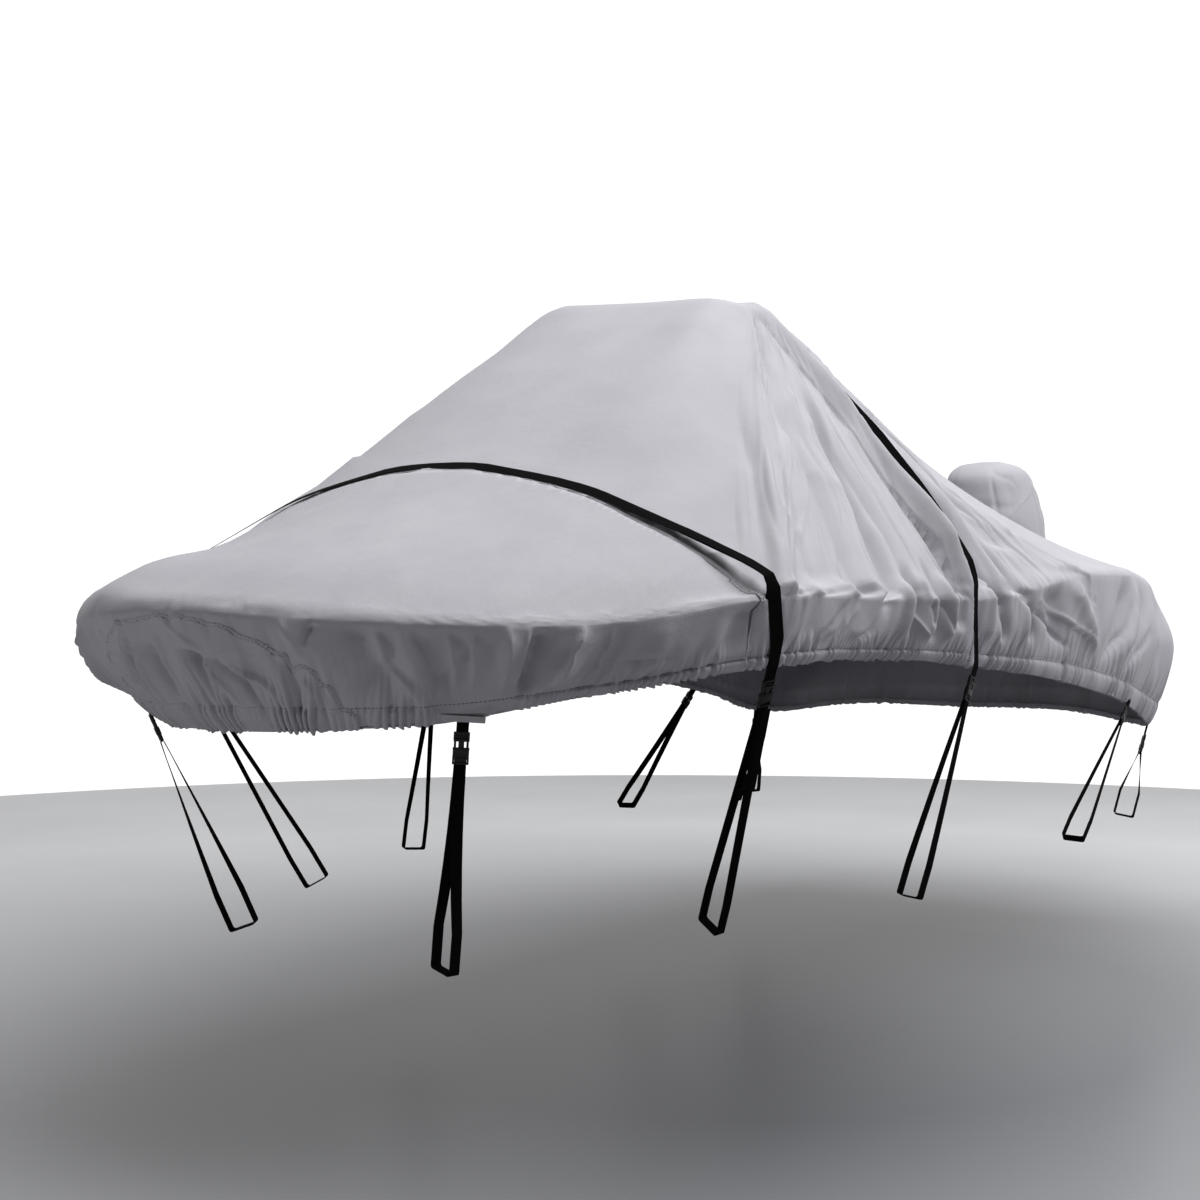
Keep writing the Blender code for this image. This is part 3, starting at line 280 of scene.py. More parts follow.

# Finer creases, placed one by one. side: 1 port, -1 starboard, 0 both. line: s and row of each bend. width: half
# width in metres on the cloth. depth: into the cloth where negative. sharp: 2 is a soft round fold, 1 a crease.
CREASE_COLUMNS = "side width depth sharp line".split()
CREASE_DEEP = 2.3  # all depths are multiplied by this
BOW_DEEPER = 0.4  # and, round the bow, are this much deeper again
CREASES = [
    (0, .030, -.006, 2.0, [(1.23, .14), (1.35, .39), (1.46, .64), (1.51, .97)]),
    (0, .012, .005, 1.2, [(1.50, .02), (1.54, .25), (1.62, .58), (1.57, .92), (1.54, 1.8)]),
    (0, .022, -.007, 1.5, [(1.66, .07), (1.78, .29), (1.79, .49)]),
    (0, .018, -.007, 1.3, [(1.80, .44), (1.86, .59), (1.91, .76), (1.93, .98)]),
    (0, .014, -.009, 1.1, [(2.20, .58), (2.16, .78), (2.15, .93), (2.13, 2.0), (2.05, 2.6)]),
    (0, .012, -.007, 1.0, [(2.63, .56), (2.60, .69), (2.58, .80), (2.55, .90), (2.63, 1.4), (2.68, 2.13)]),
    (0, .010, -.006, 1.2, [(2.77, .93), (2.88, 1.8), (2.97, 2.13)]),
    (0, .020, -.006, 1.5, [(3.06, .44), (3.20, .54), (3.28, .76)]),
    (0, .018, .006, 1.3, [(3.29, .81), (3.60, .85), (3.82, 2.05)]),
    (0, .012, -.006, 1.1, [(2.99, 1.4), (3.09, 2.05), (3.18, 2.21)]),
    (1, .010, -.006, 1.1, [(3.61, 2.10), (3.91, 2.23)]),
    (1, .010, -.006, 1.1, [(3.77, 2.36), (4.22, 2.33)]),
    (1, .035, -.012, 1.8, [(3.26, 2.28), (3.50, 2.56), (3.61, 2.67)]),
    (1, .018, .008, 1.3, [(3.26, 2.15), (3.63, 2.44), (3.85, 2.59), (3.94, 2.77)]),
    (1, .018, -.009, 1.3, [(4.41, 2.13), (4.27, 2.41), (4.03, 2.72)]),
    (1, .016, -.008, 1.2, [(4.62, 2.33), (4.46, 2.56), (4.32, 2.77)]),
    (1, .016, -.008, 1.2, [(4.74, 2.41), (4.71, 2.64), (4.69, 2.85)]),
    (1, .010, .0045, 1.2, [(.018, 2.08), (.036, 2.21), (.066, 2.29), (.09, 2.40)]),
    (1, .055, -.0045, 1.3, [(.287, 2.36), (.251, 2.41), (.137, 2.46), (.078, 2.51)]),
    (1, .012, .006, 1.2, [(-.293, 2.21), (-.251, 2.45), (-.265, 2.65), (-.376, 2.82)]),
    (1, .010, .005, 1.2, [(-.153, 2.24), (-.209, 2.53), (-.279, 2.78)]),
    (1, .014, -.008, 1.3, [(-.140, 2.32), (-.181, 2.58), (-.223, 2.89)]),
    (1, .009, .006, 1.1, [(-.111, 2.32), (-.16, 2.6), (-.209, 2.89)]),
    (1, .018, -.007, 1.5, [(-.07, 2.40), (-.12, 2.86)]),
    (1, .009, .006, 1.1, [(-.028, 2.27), (-.056, 2.50), (-.070, 2.70), (-.042, 2.90)]),
    (1, .022, -.010, 1.6, [(.048, 2.43), (.072, 2.60), (.096, 2.86)]),
    (1, .012, .006, 1.3, [(.085, 2.50), (.120, 2.70), (.150, 2.86)]),
    (1, .014, -.009, 1.3, [(.125, 2.50), (.180, 2.65), (.215, 2.88)]),
    (1, .014, .006, 1.4, [(.143, 2.53), (.231, 2.65), (.299, 2.84)]),
    (1, .020, -.012, 1.6, [(.315, 2.48), (.322, 2.60), (.328, 2.86)]),
    (1, .010, .006, 1.2, [(.346, 2.58), (.370, 2.72), (.385, 2.86)]),
    (1, .010, .006, 1.1, [(.317, 2.05), (.335, 2.22), (.352, 2.40)]),
    (1, .012, -.006, 1.1, [(.385, 2.05), (.364, 2.25)]),
    (1, .018, .008, 1.4, [(.520, 2.12), (.543, 2.48), (.591, 2.62), (.633, 2.84)]),
    (1, .020, -.007, 1.5, [(.603, 2.10), (.639, 2.45), (.705, 2.84)]),
    (1, .010, .004, 1.3, [(.681, 2.15), (.717, 2.84)]),
    (1, .010, .004, 1.3, [(.735, 2.15), (.758, 2.78)]),
    (1, .010, .005, 1.2, [(.812, 2.05), (.830, 2.80)]),
    (1, .009, .005, 1.2, [(.860, 2.05), (.860, 2.78)]),
    (1, .016, -.007, 1.5, [(.895, 2.08), (.884, 2.80)]),
    (1, .009, .006, 1.1, [(.991, 2.05), (.967, 2.24), (.944, 2.80)]),
    (1, .009, .006, 1.1, [(1.069, 2.10), (1.027, 2.78)]),
    (-1, .018, .007, 1.4, [(.46, 2.12), (.50, 2.45), (.58, 2.82)]),
    (-1, .018, -.007, 1.5, [(.66, 2.10), (.70, 2.84)]),
    (-1, .012, .006, 1.2, [(.98, 2.08), (.93, 2.80)]),
    (1, .012, -.005, 1.2, [(1.80, 2.08), (1.67, 2.79)]),
    (1, .010, .004, 1.1, [(1.91, 2.15), (1.78, 2.79)]),
    (1, .010, -.005, 1.1, [(2.06, 2.31), (1.98, 2.72)]),
    (1, .012, -.006, 1.1, [(2.14, 2.05), (2.07, 2.33), (1.96, 2.74)]),
    (1, .012, .006, 1.1, [(2.27, 2.08), (2.40, 2.62)]),
    (1, .010, -.006, 1.1, [(2.38, 2.05), (2.40, 2.36)]),
    (1, .010, -.006, 1.1, [(2.49, 2.05), (2.56, 2.49)]),
]


def hermite(knots, values, slopes, at):
    """Cubic through values at knots with the given slopes, read at each of at."""
    low = np.clip(np.searchsorted(knots, at, side="right") - 1, 0, len(knots) - 2)
    shape = (-1,) + (1,) * (values.ndim - 1)
    step = (knots[low + 1] - knots[low]).reshape(shape)
    t = (at - knots[low]).reshape(shape) / step
    return (
        (1 + 2 * t) * (1 - t) ** 2 * values[low]
        + t * (1 - t) ** 2 * step * slopes[low]
        + t * t * (3 - 2 * t) * values[low + 1]
        + t * t * (t - 1) * step * slopes[low + 1]
    )


def smooth_round(knots, values, at):
    """A smooth curve through the sections round the cover."""
    step = np.diff(knots)[:, None]
    rise = np.diff(values, axis=0) / step
    slopes = np.zeros_like(values)
    slopes[1:-1] = (rise[:-1] * step[1:] + rise[1:] * step[:-1]) / (step[1:] + step[:-1])
    return hermite(knots, values, slopes, at)


def smooth_down(knots, values, at):
    """A curve down a section that never overshoots its values."""
    shape = (-1,) + (1,) * (values.ndim - 1)
    step = np.diff(knots).reshape(shape)
    rise = np.diff(values, axis=0) / step
    before = 2 * step[1:] + step[:-1]
    after = step[1:] + 2 * step[:-1]
    same_way = rise[:-1] * rise[1:] > 0
    safe_first = np.where(same_way, rise[:-1], 1.0)
    safe_next = np.where(same_way, rise[1:], 1.0)
    slopes = np.zeros_like(values)
    slopes[0] = rise[0]
    slopes[-1] = rise[-1]
    slopes[1:-1] = np.where(same_way, (before + after) / (before / safe_first + after / safe_next), 0.0)
    return hermite(knots, values, slopes, at)


EDGE_S = np.concatenate([[0.0], np.cumsum(np.hypot(np.diff(SECTIONS[:, 0]), np.diff(SECTIONS[:, 1])))])
HALF_ROUND = EDGE_S[-1]  # length of the edge line from the bow centre to the stern centre


def smooth_step(values, low=0, high=1):
    t = np.clip((values - low) / (high - low), 0, 1)
    return t * t * (3 - 2 * t)


def unit(ways):
    return ways / np.maximum(np.linalg.norm(ways, axis=-1, keepdims=True), 1e-9)


def section_values(s):
    """The section table read at each s: metres of edge line from the bow centre, port positive."""
    signs = np.array([-1.0 if name in ("half", "half_top") else 1.0 for name in SECTION_COLUMNS])
    knots = np.concatenate([-EDGE_S[:0:-1], EDGE_S, 2 * HALF_ROUND - EDGE_S[-2::-1]])
    table = np.concatenate([SECTIONS[:0:-1] * signs, SECTIONS, SECTIONS[-2::-1] * signs])
    read = smooth_round(knots, table, np.abs(s))
    values = {name: read[:, k] for k, name in enumerate(SECTION_COLUMNS)}
    side = np.where(s < 0, -1.0, 1.0)
    values["half"] = values["half"] * side
    values["half_top"] = values["half_top"] * side
    shoulder = smooth_step(-s, 0.05, 0.35) * (1 - smooth_step(-s, 0.8, 1.2))
    for name, more in (("roll_up", 0.040), ("roll_in", 0.018), ("z94", 0.034)):  # the bow is rounder to starboard
        values[name] = values[name] + more * shoulder
    return values


def plain_cloth(s, rows):
    """The cloth with no folds, for each row and each s: rows below 0 lie on the flat top, 3 is the hem."""
    now, ahead, behind = (section_values(s + step) for step in (0, 0.001, -0.001))
    way = np.stack([ahead[key] - behind[key] for key in ("x", "half")])
    out = np.stack([-way[1], way[0]]) / np.hypot(*way)  # outward, square to the edge line
    edge = np.stack([now["x"], now["half"]])
    rim = np.stack([now["x_top"], now["half_top"]])
    lip = edge - out * now["roll_in"]
    lip_z = now["z"] + now["roll_up"]
    rim_z = CLOTH - TOP_TILT * now["half_top"]
    down_rows = np.array([0.0, .2, .4, .6, .8, .94, 1.0])
    heights = np.stack([rim_z] + [now[key] for key in ("z20", "z40", "z60", "z80", "z94")] + [lip_z])
    skirt_rows = np.array([0.0, .4, 1.0])
    outs = np.stack([0 * lip_z, now["belly_out"], -now["hem_in"]])
    drops = np.stack([0 * lip_z, now["belly_down"], now["hem_down"]])

    def on_slope(row):
        return np.stack([*(rim + (lip - rim) * row), smooth_down(down_rows, heights, np.array([row]))[0]], axis=-1)

    before, end = on_slope(0.97), on_slope(1.0)
    steep = (before[:, 2] - end[:, 2]) / np.maximum(np.hypot(*(end - before)[:, :2].T), 1e-6)
    bend_z = np.maximum(lip_z - 0.88 * steep * now["roll_in"], lip_z - 0.75 * now["roll_up"])
    bend = edge - out * 0.12 * now["roll_in"]
    corner, below = on_slope(0.0), on_slope(RIM_ROW)
    inner = corner * (1 - RIM_IN)
    inner[:, 2] = CLOTH - TOP_TILT * inner[:, 1]
    points = np.zeros((len(rows), len(s), 3))
    for k, row in enumerate(rows):
        if row < -RIM_ROW:
            points[k] = inner * ((row + 1) / (1 - RIM_ROW))
            points[k][:, 2] = CLOTH - TOP_TILT * points[k][:, 1]
        elif row <= RIM_ROW:
            t = (row + RIM_ROW) / (2 * RIM_ROW)
            points[k] = inner * (1 - t) ** 2 + corner * 2 * t * (1 - t) + below * t * t
        elif row <= 1:
            points[k] = on_slope(row)
        elif row <= 2:
            t = row - 1
            back, mid, down = (1 - t) ** 2, 2 * t * (1 - t), t * t
            spot = lip * back + bend * mid + edge * down
            points[k] = np.stack([*spot, lip_z * back + bend_z * mid + now["z"] * down], axis=-1)
        else:
            in_skirt = np.array([min(row, 3.0) - 2])
            turn = math.pi * min(1.0, max(0.0, row - 3.0) / 0.1)
            reach = smooth_down(skirt_rows, outs, in_skirt)[0] - HEM_ROLL * (1 - math.cos(turn))
            drop = smooth_down(skirt_rows, drops, in_skirt)[0]
            drop = drop + HEM_ROLL * math.sin(turn) - 0.2 * max(0.0, row - 3.1)
            points[k] = np.stack([*(edge + out * reach), now["z"] - drop], axis=-1)
    return points


def travel(rows):
    """Rows told in even steps of cloth: the turn over the edge and the skirt are short beside the slope."""
    return np.interp(rows, (-1.0, 0.0, 1.0, 2.0, 3.0, 3.3), (-.3, 0.0, 1.0, 1.07, 1.28, 1.34))


def run_out(rows, first, last):
    """1 along a fold, falling smoothly to 0 at its ends."""
    place, start, end = travel(rows), travel(first), travel(last)
    if first < 0.9:  # a fold of the slope
        into = (place - start) / 0.20
    elif first > 1.55:  # a fold of the skirt alone, from the edge line down
        into = (place - max(start, travel(2.0)) + 0.005) / 0.045
    else:
        into = (place - start + 0.05) / 0.07
    return smooth_step(np.minimum(into, (end + 0.03 - place) / 0.05))


def waves(u, v, seed):
    """Smooth random hills, one unit across, from -1 to 1."""
    table = np.random.default_rng(seed).uniform(-1, 1, (256, 256))
    column, row = np.floor(u).astype(int), np.floor(v).astype(int)
    a, b = smooth_step(u - column), smooth_step(v - row)
    corner = [table[(row + j) % 256, (column + i) % 256] for j in (0, 1) for i in (0, 1)]
    return (corner[0] * (1 - a) + corner[1] * a) * (1 - b) + (corner[2] * (1 - a) + corner[3] * a) * b


def ridges(u, v, seed):
    """The same with narrow crests that wander, from -1 to 1."""
    return 1 - 2 * np.abs(waves(u, v, seed))


def gathered(rows):
    """Metres of cloth for each metre of edge line: the slopes fan out from the small flat top."""
    return np.clip(0.22 + 0.8 * rows, 0.22, 1)


def main_folds(s, rows):
    """The folds that the solids have too. s is a row of places and rows a column of rows."""
    relief = np.zeros((len(rows), len(s[0])))
    fan = np.clip(1.25 * rows, 0, 1)
    for side, folds in ((1.0, PORT_FOLDS), (-1.0, STARBOARD_FOLDS)):
        for line in folds:
            fold = dict(zip(FOLD_COLUMNS, line))
            middle = np.interp(rows, (0.0, 1.6, 3.0), (fold["s_top"], fold["s_edge"], fold["s_hem"]))
            strength = run_out(rows, fold["first"], fold["last"]) * fan
            relief += fold["depth"] * strength * np.exp(-(((side * s - middle) / fold["width"]) ** 2))
    return relief


def creases(s, rows):
    """The finer creases, on the same grid."""
    relief = np.zeros((len(rows), len(s[0])))
    for line in CREASES:
        crease = dict(zip(CREASE_COLUMNS, line))
        bends = crease["line"]
        middle = np.interp(rows, [row for _, row in bends], [place for place, _ in bends])
        ends = (bends[0][1], bends[-1][1])
        fade = max(0.04, 0.25 * (ends[1] - ends[0]))
        level = smooth_step(np.minimum((rows - ends[0] + fade / 2) / fade, (ends[1] + fade / 2 - rows) / fade))
        for side in ((1.0, -1.0) if crease["side"] == 0 else (crease["side"],)):
            across = np.abs(side * s - middle) * gathered(rows) / crease["width"]
            relief += CREASE_DEEP * crease["depth"] * level * np.exp(-across ** crease["sharp"])
    return relief * (1 + BOW_DEEPER * (np.abs(s) < GORE_HALF))


def crumple(s, rows, down):
    """Fine uneven wrinkles: along the pull on the slopes, upright and leaning in the skirt."""
    s, down = np.broadcast_arrays(s, down)
    away = np.abs(s)
    gather = gathered(rows)
    wander = 0.03 * waves(s / 0.5, down / 0.5, 3)
    crisp = smooth_step(away, 0.28, 0.42) * (1 - smooth_step(away, 1.75, 2.0))  # where the edge is crisp
    soft = smooth_step(away, 1.80, 2.1)
    skirt = np.clip((rows - 1.5 - 0.45 * crisp - 0.20 * soft) / (0.5 + 0.3 * soft), 0, 1)
    slope = np.clip(rows / 0.2, 0, 1) * (1 - skirt)
    side = np.clip((away - 1.30) / 0.25, 0, 1) * np.clip((3.8 - away) / 0.5, 0, 1)
    # the slopes: long wrinkles, thin crests, broad hollows and drawn-in valleys, deepest on the sides
    long_way = waves((s + wander) / 0.055, down / 0.30, 5) + 0.6 * waves((s - wander) / 0.028, down / 0.22, 6)
    ridged = ridges((s + wander + 0.3 * down) / 0.09, down / 0.35, 7)
    relief = slope * gather * (0.0005 + 0.0040 * side) * long_way
    relief += slope * (0.0010 + 0.0055 * side) * np.clip(ridged, 0, 1) ** 3
    relief += slope * (0.0020 + 0.0030 * side) * waves(s / 0.21, down / 0.17, 8)
    pulled = ridges((s + wander) / 0.062, down / 0.55, 16)
    relief -= slope * side * gather * 0.0075 * np.clip(pulled, 0, 1) ** 2
    # ahead of the front strap: faint creases on the slant
    bow = np.clip((1.5 - away) / 0.3, 0, 1)
    fore = bow * np.clip((rows - 0.1) / 0.2, 0, 1) * (1 - skirt)
    drawn = ridges((s * (0.3 + rows) + 0.55 * down) / 0.085, (down - 0.4 * s) / 0.42, 14)
    small = waves(s * (0.3 + rows) / 0.05, down / 0.09, 15)
    relief += fore * (0.0014 * np.clip(drawn, 0, 1) ** 2 + 0.0009 * small)
    # just above the edge on the sides
    near_edge = np.clip((rows - 0.70) / 0.3, 0, 1) * (1 - skirt) * side
    relief += near_edge * 0.0015 * waves((s + wander) / 0.030, down / 0.14, 12)
    # the skirt: upright and leaning folds, with steep valleys at the bow
    lean = s + 0.35 * (down - 1.2)
    upright = waves((lean + wander) / 0.050, down / 0.16, 9)
    upright = upright + 0.5 * waves((lean - wander) / 0.024, down / 0.10, 10)
    sharp = ridges((lean + wander) / 0.075, down / 0.20, 13)
    deep = (1 + 0.2 * bow) * (1 - 0.30 * soft - 0.40 * smooth_step(away, 3.7, 4.2))
    relief += skirt * deep * (0.0036 * upright + 0.0034 * waves(s / 0.12, down / 0.10, 11) + 0.0050 * sharp)
    steep = ridges((s + 0.5 * (down - 1.6) + wander) / 0.110, down / 0.24, 17)
    relief -= skirt * bow * 0.0080 * np.clip(steep, 0, 1) ** 2.5
    return relief


def gathers(s, rows):
    """The elastic hem's ruffles, in a sewn casing. The real ones are about half as far apart: too fine to show."""
    s = np.broadcast_to(s, (len(rows), s.shape[1]))
    rows = np.minimum(rows, 3.0)
    warp = s + 0.016 * waves(s / 0.05, rows * 2, 21) + 0.03 * waves(s / 0.4, 0 * s, 22)
    strength = np.clip(0.80 + 0.95 * waves(s / 0.07, 0 * s, 23), 0.05, 2.2)
    fine = 1 - 2 * np.abs(np.cos(np.pi * warp / FINE_PITCH)) ** 4
    broad = np.sin(2 * np.pi * (s + 0.03 * waves(s / 0.15, 0 * s, 24)) / BROAD_PITCH)
    casing = np.clip((rows - CASING_ROW) / 0.04, 0, 1)
    above = np.clip((rows - GATHER_ROW) / (CASING_ROW - GATHER_ROW), 0, 1) ** 2 * (1 - casing)
    bulge = 0.0060 * np.sin(np.pi * np.clip((rows - CASING_ROW) / (3 - CASING_ROW), 0, 1)) ** 0.7
    relief = casing * (0.0052 * fine + 0.0026 * broad) * strength + casing * bulge
    relief += above * (0.0030 * fine + 0.0060 * broad) * strength
    seam = np.exp(-((rows - CASING_ROW) / 0.018) ** 2)
    return relief - 0.0035 * seam


def calm_patch(s, rows, relief):
    """The stiff patches above the fore tie-downs hold the hem flat."""
    calm = 1 - np.exp(-(((np.abs(s) - PATCH_S) / 0.10) ** 4))
    return relief * (1 - (1 - calm) * smooth_step(rows, 2.2, 2.8))


def seam_pinches(height, s, rows):
    """Puckers beside the bow gore's seam, which lies in a shallow groove. height: over its plane."""
    near = np.exp(-np.abs(height) / 0.032) * (rows > 1.2)
    pinch = waves((s + 0.25 * height) / 0.017, 0 * s + height / 0.05, 41)
    pinch = pinch + 0.8 * waves((s - 0.2 * height) / 0.034, height / 0.08, 42)
    seam = np.exp(-((height / 0.009) ** 2)) * (rows > 1.2)
    return 0.0038 * near * pinch - 0.0030 * seam


def fine_cloth(s, rows):
    """The folded cloth's outer face on a grid, its outward normals, and the flat length down to each row."""
    plain = plain_cloth(s, rows)
    round_way = np.roll(plain, -1, axis=1) - np.roll(plain, 1, axis=1)
    down_way = np.gradient(plain, axis=0)
    out = np.cross(round_way, down_way)
    length = np.linalg.norm(out, axis=-1, keepdims=True)
    out = np.where(length > 1e-12, out / np.maximum(length, 1e-12), (0.0, 0.0, 1.0))
    for _ in range(3):  # folds stand out along softened directions, so that they don't cross at the edge
        padded = np.concatenate([out[:2], out, out[-2:]])
        out = unit(sum(padded[k:k + len(out)] for k in range(5)))
    steps = np.linalg.norm(np.diff(plain, axis=0), axis=-1)
    down = np.concatenate([np.zeros((1, len(s))), np.cumsum(steps, axis=0)])
    down -= down[np.searchsorted(rows, 0.0)]
    out[..., 2] *= 1 - 0.9 * smooth_step(rows, 2.3, 2.8)[:, None]  # level at the hem
    out = unit(out)
    line, column = s[None, :], np.minimum(rows, 3.0)[:, None]
    low = 2.45 + 0.15 * (np.abs(line) < 1.25)
    drawn_in = 1 - 0.85 * smooth_step(column, low, low + 0.30)  # the elastic turns folds into ruffles
    above_seam = (plain - GORE_START) @ GORE_UP
    pinned = np.exp(-((above_seam / 0.040) ** 2)) * (np.abs(line) < GORE_HALF)
    pinned = 1 - 0.85 * pinned * smooth_step(column, 1.3, 2.0)  # the gore's seam holds the folds
    relief = main_folds(line, column) + crumple(line, column, down)
    relief = (relief * pinned + creases(line, column) * (0.3 + 0.7 * pinned)) * drawn_in
    relief = calm_patch(line, column, relief + gathers(line, column)) + seam_pinches(above_seam, line, column)
    relief = np.where(rows[:, None] > 0, relief, 0.0)
    points = plain + out * relief[..., None]
    points[..., 1] *= -1
    out[..., 1] *= -1
    return points, out, down


def places(port, starboard):
    """Places of the columns along the edge line, starboard stern round the bow to port stern: for each side
    the stretches of edge line, from and to, with their pitch."""
    def one_side(pitches):
        spots = [0.0]
        while spots[-1] < HALF_ROUND:
            spots.append(spots[-1] + next(p for low, high, p in pitches if low <= spots[-1] < high))
        count = 4 * math.ceil((len(spots) - 1) / 4)
        even = np.interp(np.linspace(0, len(spots) - 1, count + 1), np.arange(len(spots)), spots)
        return even * HALF_ROUND / even[-1]
    return np.concatenate([-one_side(starboard)[:0:-1], one_side(port)[:-1]])


def strap_tree(name):
    """A solid's surface, to measure from."""
    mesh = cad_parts[name].data
    return BVHTree.FromPolygons([v.co for v in mesh.vertices], [p.vertices for p in mesh.polygons])


STRAPS = [("strap_mid", -1.09), ("strap_aft", 0.14)]
STRAP_NEAR = 0.13  # how far from its station a strap is looked for
STRAP_UNDER = 0.0026  # the cloth's outer face lies this far below a strap's outer face
PATCH_UNDER = 0.0016  # and this far behind a patch's outer face
PATCH_NEAR = 0.16
PATCH_FADE = 0.030
# How far the cloth rolls over the rear strap from ahead, port side: rows and heights.
ROLL_ROWS = (0.0, .05, .42, .56, .68, .80, .90, .96, 1.1, 2.9)
ROLL_HEIGHTS = (.004, .020, .032, .018, .018, .032, .031, .006, .003, .002)
ROLL_REACH = 0.050
strap_trees = {name: strap_tree(name) for name, _ in STRAPS}
patch_trees = [strap_tree(name) for name in ("patch_fore_port", "patch_fore_starboard")]


def beside_solid(tree, spot, way, reach):
    """How high a spot is over a solid, how far beside it and whether ahead of it, or None out of reach."""
    hit = tree.find_nearest(spot, reach)[0]
    if hit is None:
        return None
    offset = spot - hit
    height = offset.dot(way)
    return height, (offset - way * height).length, offset.x < 0


def press_under_straps(points, out, rows):
    """Lowers the cloth under the straps, lets it bulge up beside them, and sets the hem behind its patches."""
    for name, station in STRAPS:
        for r, c in np.argwhere(np.abs(points[..., 0] - station) < STRAP_NEAR):
            spot, way = Vector(points[r, c]), Vector(out[r, c])
            found = beside_solid(strap_trees[name], spot, way, 0.08)
            if found is None:
                continue
            height, beside, ahead = found
            slope = 1.2
            if name == "strap_aft" and ahead and spot.y < 0:
                slope = 3.0
                want = np.interp(rows[r], ROLL_ROWS, ROLL_HEIGHTS) * min(1.0, beside / 0.010)
                if height < want:
                    higher = height + (want - height) * math.exp(-(max(0.0, beside - 0.010) / ROLL_REACH) ** 2)
                    spot += way * (higher - height)
                    height = higher
            elif name == "strap_mid" and ahead:
                puff = float(waves(np.array([spot.y / 0.028]), np.array([spot.z / 0.1]), 51)[0])
                slope = 0.7 + 2.4 * max(0.0, puff)
            allowed = slope * max(0.0, beside - 0.001) - STRAP_UNDER
            points[r, c] = spot - way * max(0.0, height - allowed)
    for tree in patch_trees:
        middle = tree.find_nearest(Vector((0, 0, -1.2)))[0]
        near = (np.abs(points[..., 0] - middle.x) < PATCH_NEAR) & (points[..., 1] * middle.y > 0)
        near &= (points[..., 2] < -1.12) & (rows <= 3.05)[:, None]
        for r, c in np.argwhere(near):
            spot, way = Vector(points[r, c]), Vector(out[r, c])
            found = beside_solid(tree, spot, way, 0.09)
            if found is not None:
                height, beside, _ = found
                points[r, c] = spot + way * (-PATCH_UNDER - height) * math.exp(-(beside / PATCH_FADE) ** 2)
    return points


def new_piece(name, shape, finish):
    """A bmesh as a piece of the cover."""
    mesh = bpy.data.meshes.new(name)
    shape.to_mesh(mesh)
    shape.free()
    mesh.materials.append(finish)
    piece = bpy.data.objects.new(name, mesh)
    bpy.context.scene.collection.objects.link(piece)
    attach(piece, "root")
    return piece


def new_sheet(name, shape):
    """A bmesh as a sheet of the cover's cloth: the outside up, the thickness inward."""
    piece = new_piece(name, shape, cover_cloth)
    if sum(p.normal.z * p.area for p in piece.data.polygons) < 0:
        piece.data.flip_normals()
    wall = piece.modifiers.new("thickness", "SOLIDIFY")
    wall.thickness = CLOTH_THICK
    wall.offset = -1.0
    bpy.ops.object.select_all(action="DESELECT")
    bpy.context.view_layer.objects.active = piece
    piece.select_set(True)
    bpy.ops.object.modifier_apply(modifier=wall.name)
    piece.select_set(False)
    return piece


def cloth_piece(name, port, starboard, rows, keep):
    """One panel: the fine sheet, cut along its seams and given its thickness. keep: planes (point, normal)."""
    s = places(port, starboard)
    points, out, down = fine_cloth(s, rows)
    points = press_under_straps(points, out, rows)
    inside = np.ones(points.shape[:2], bool)
    for origin, normal in keep:
        inside &= (points - origin) @ normal > -0.03
    count = len(s)
    turn = np.concatenate([s, [s[0] + 2 * HALF_ROUND]])
    shape = bmesh.new()
    uv = shape.loops.layers.uv.new("cloth")
    corners = {}
    steps = [4 if row < 0.5 else 2 if row < 2.5 else 1 for row in rows]
    for r in range(len(rows) - 1):
        for c in range(0, count, steps[r]):
            low = [(r + 1, k) for k in range(c, c + steps[r] + 1, steps[r + 1])]
            keys = [(r, c)] + low + [(r, c + steps[r])]
            if not any(inside[row, k % count] for row, k in keys):
                continue
            for row, k in keys:
                if (row, k % count) not in corners:
                    corners[row, k % count] = shape.verts.new(points[row, k % count])
            face = shape.faces.new([corners[row, k % count] for row, k in keys])
            face.smooth = True
            for loop, (row, k) in zip(face.loops, keys):
                loop[uv].uv = (turn[k], down[row, k % count])
    for origin, normal in keep:
        everything = list(shape.verts) + list(shape.edges) + list(shape.faces)
        bmesh.ops.bisect_plane(shape, geom=everything, plane_co=tuple(origin), plane_no=tuple(normal),
                               clear_inner=True, dist=0.00002)
    bmesh.ops.remove_doubles(shape, verts=[v for v in shape.verts if v.co.z > TOP_Z], dist=0.0015)
    bmesh.ops.delete(shape, geom=[v for v in shape.verts if not v.link_faces], context="VERTS")
    return new_sheet(name, shape)


cover_cloth, shader, place = new_finish(
    "coated_polyester_plain_weave", "BBBAC0", 0.58, ("B2B1B8", "C3C2C7"), 5.0, 4.0,
    Sheen_Weight=0.06, Sheen_Roughness=0.45, Specular_IOR_Level=0.14)
crinkle = add_node(cover_cloth, "ShaderNodeTexNoise", {"Scale": 38.0, "Detail": 6.0, "Roughness": 0.62},
                   Vector=place)
soft = bump(cover_cloth, crinkle.outputs["Fac"], 0.28, 0.004)
flat = add_node(cover_cloth, "ShaderNodeUVMap", {"uv_map": "cloth"}).outputs["UV"]
threads = [  # 4 mm apart, where the real ones are too fine to show
    add_node(cover_cloth, "ShaderNodeTexWave", {"bands_direction": way, "Scale": 75.0}, Vector=flat).outputs["Fac"]
    for way in "XY"]
weave = add_node(cover_cloth, "ShaderNodeMath", {"operation": "ADD"}, _0=threads[0], _1=threads[1])
link(cover_cloth, bump(cover_cloth, weave.outputs[0], 0.25, 0.0008, Normal=soft), shader.inputs["Normal"])

RIM_ROWS = np.linspace(-RIM_ROW, RIM_ROW, 9)
EDGE_ROWS = np.linspace(1.0, 2.0, 9)


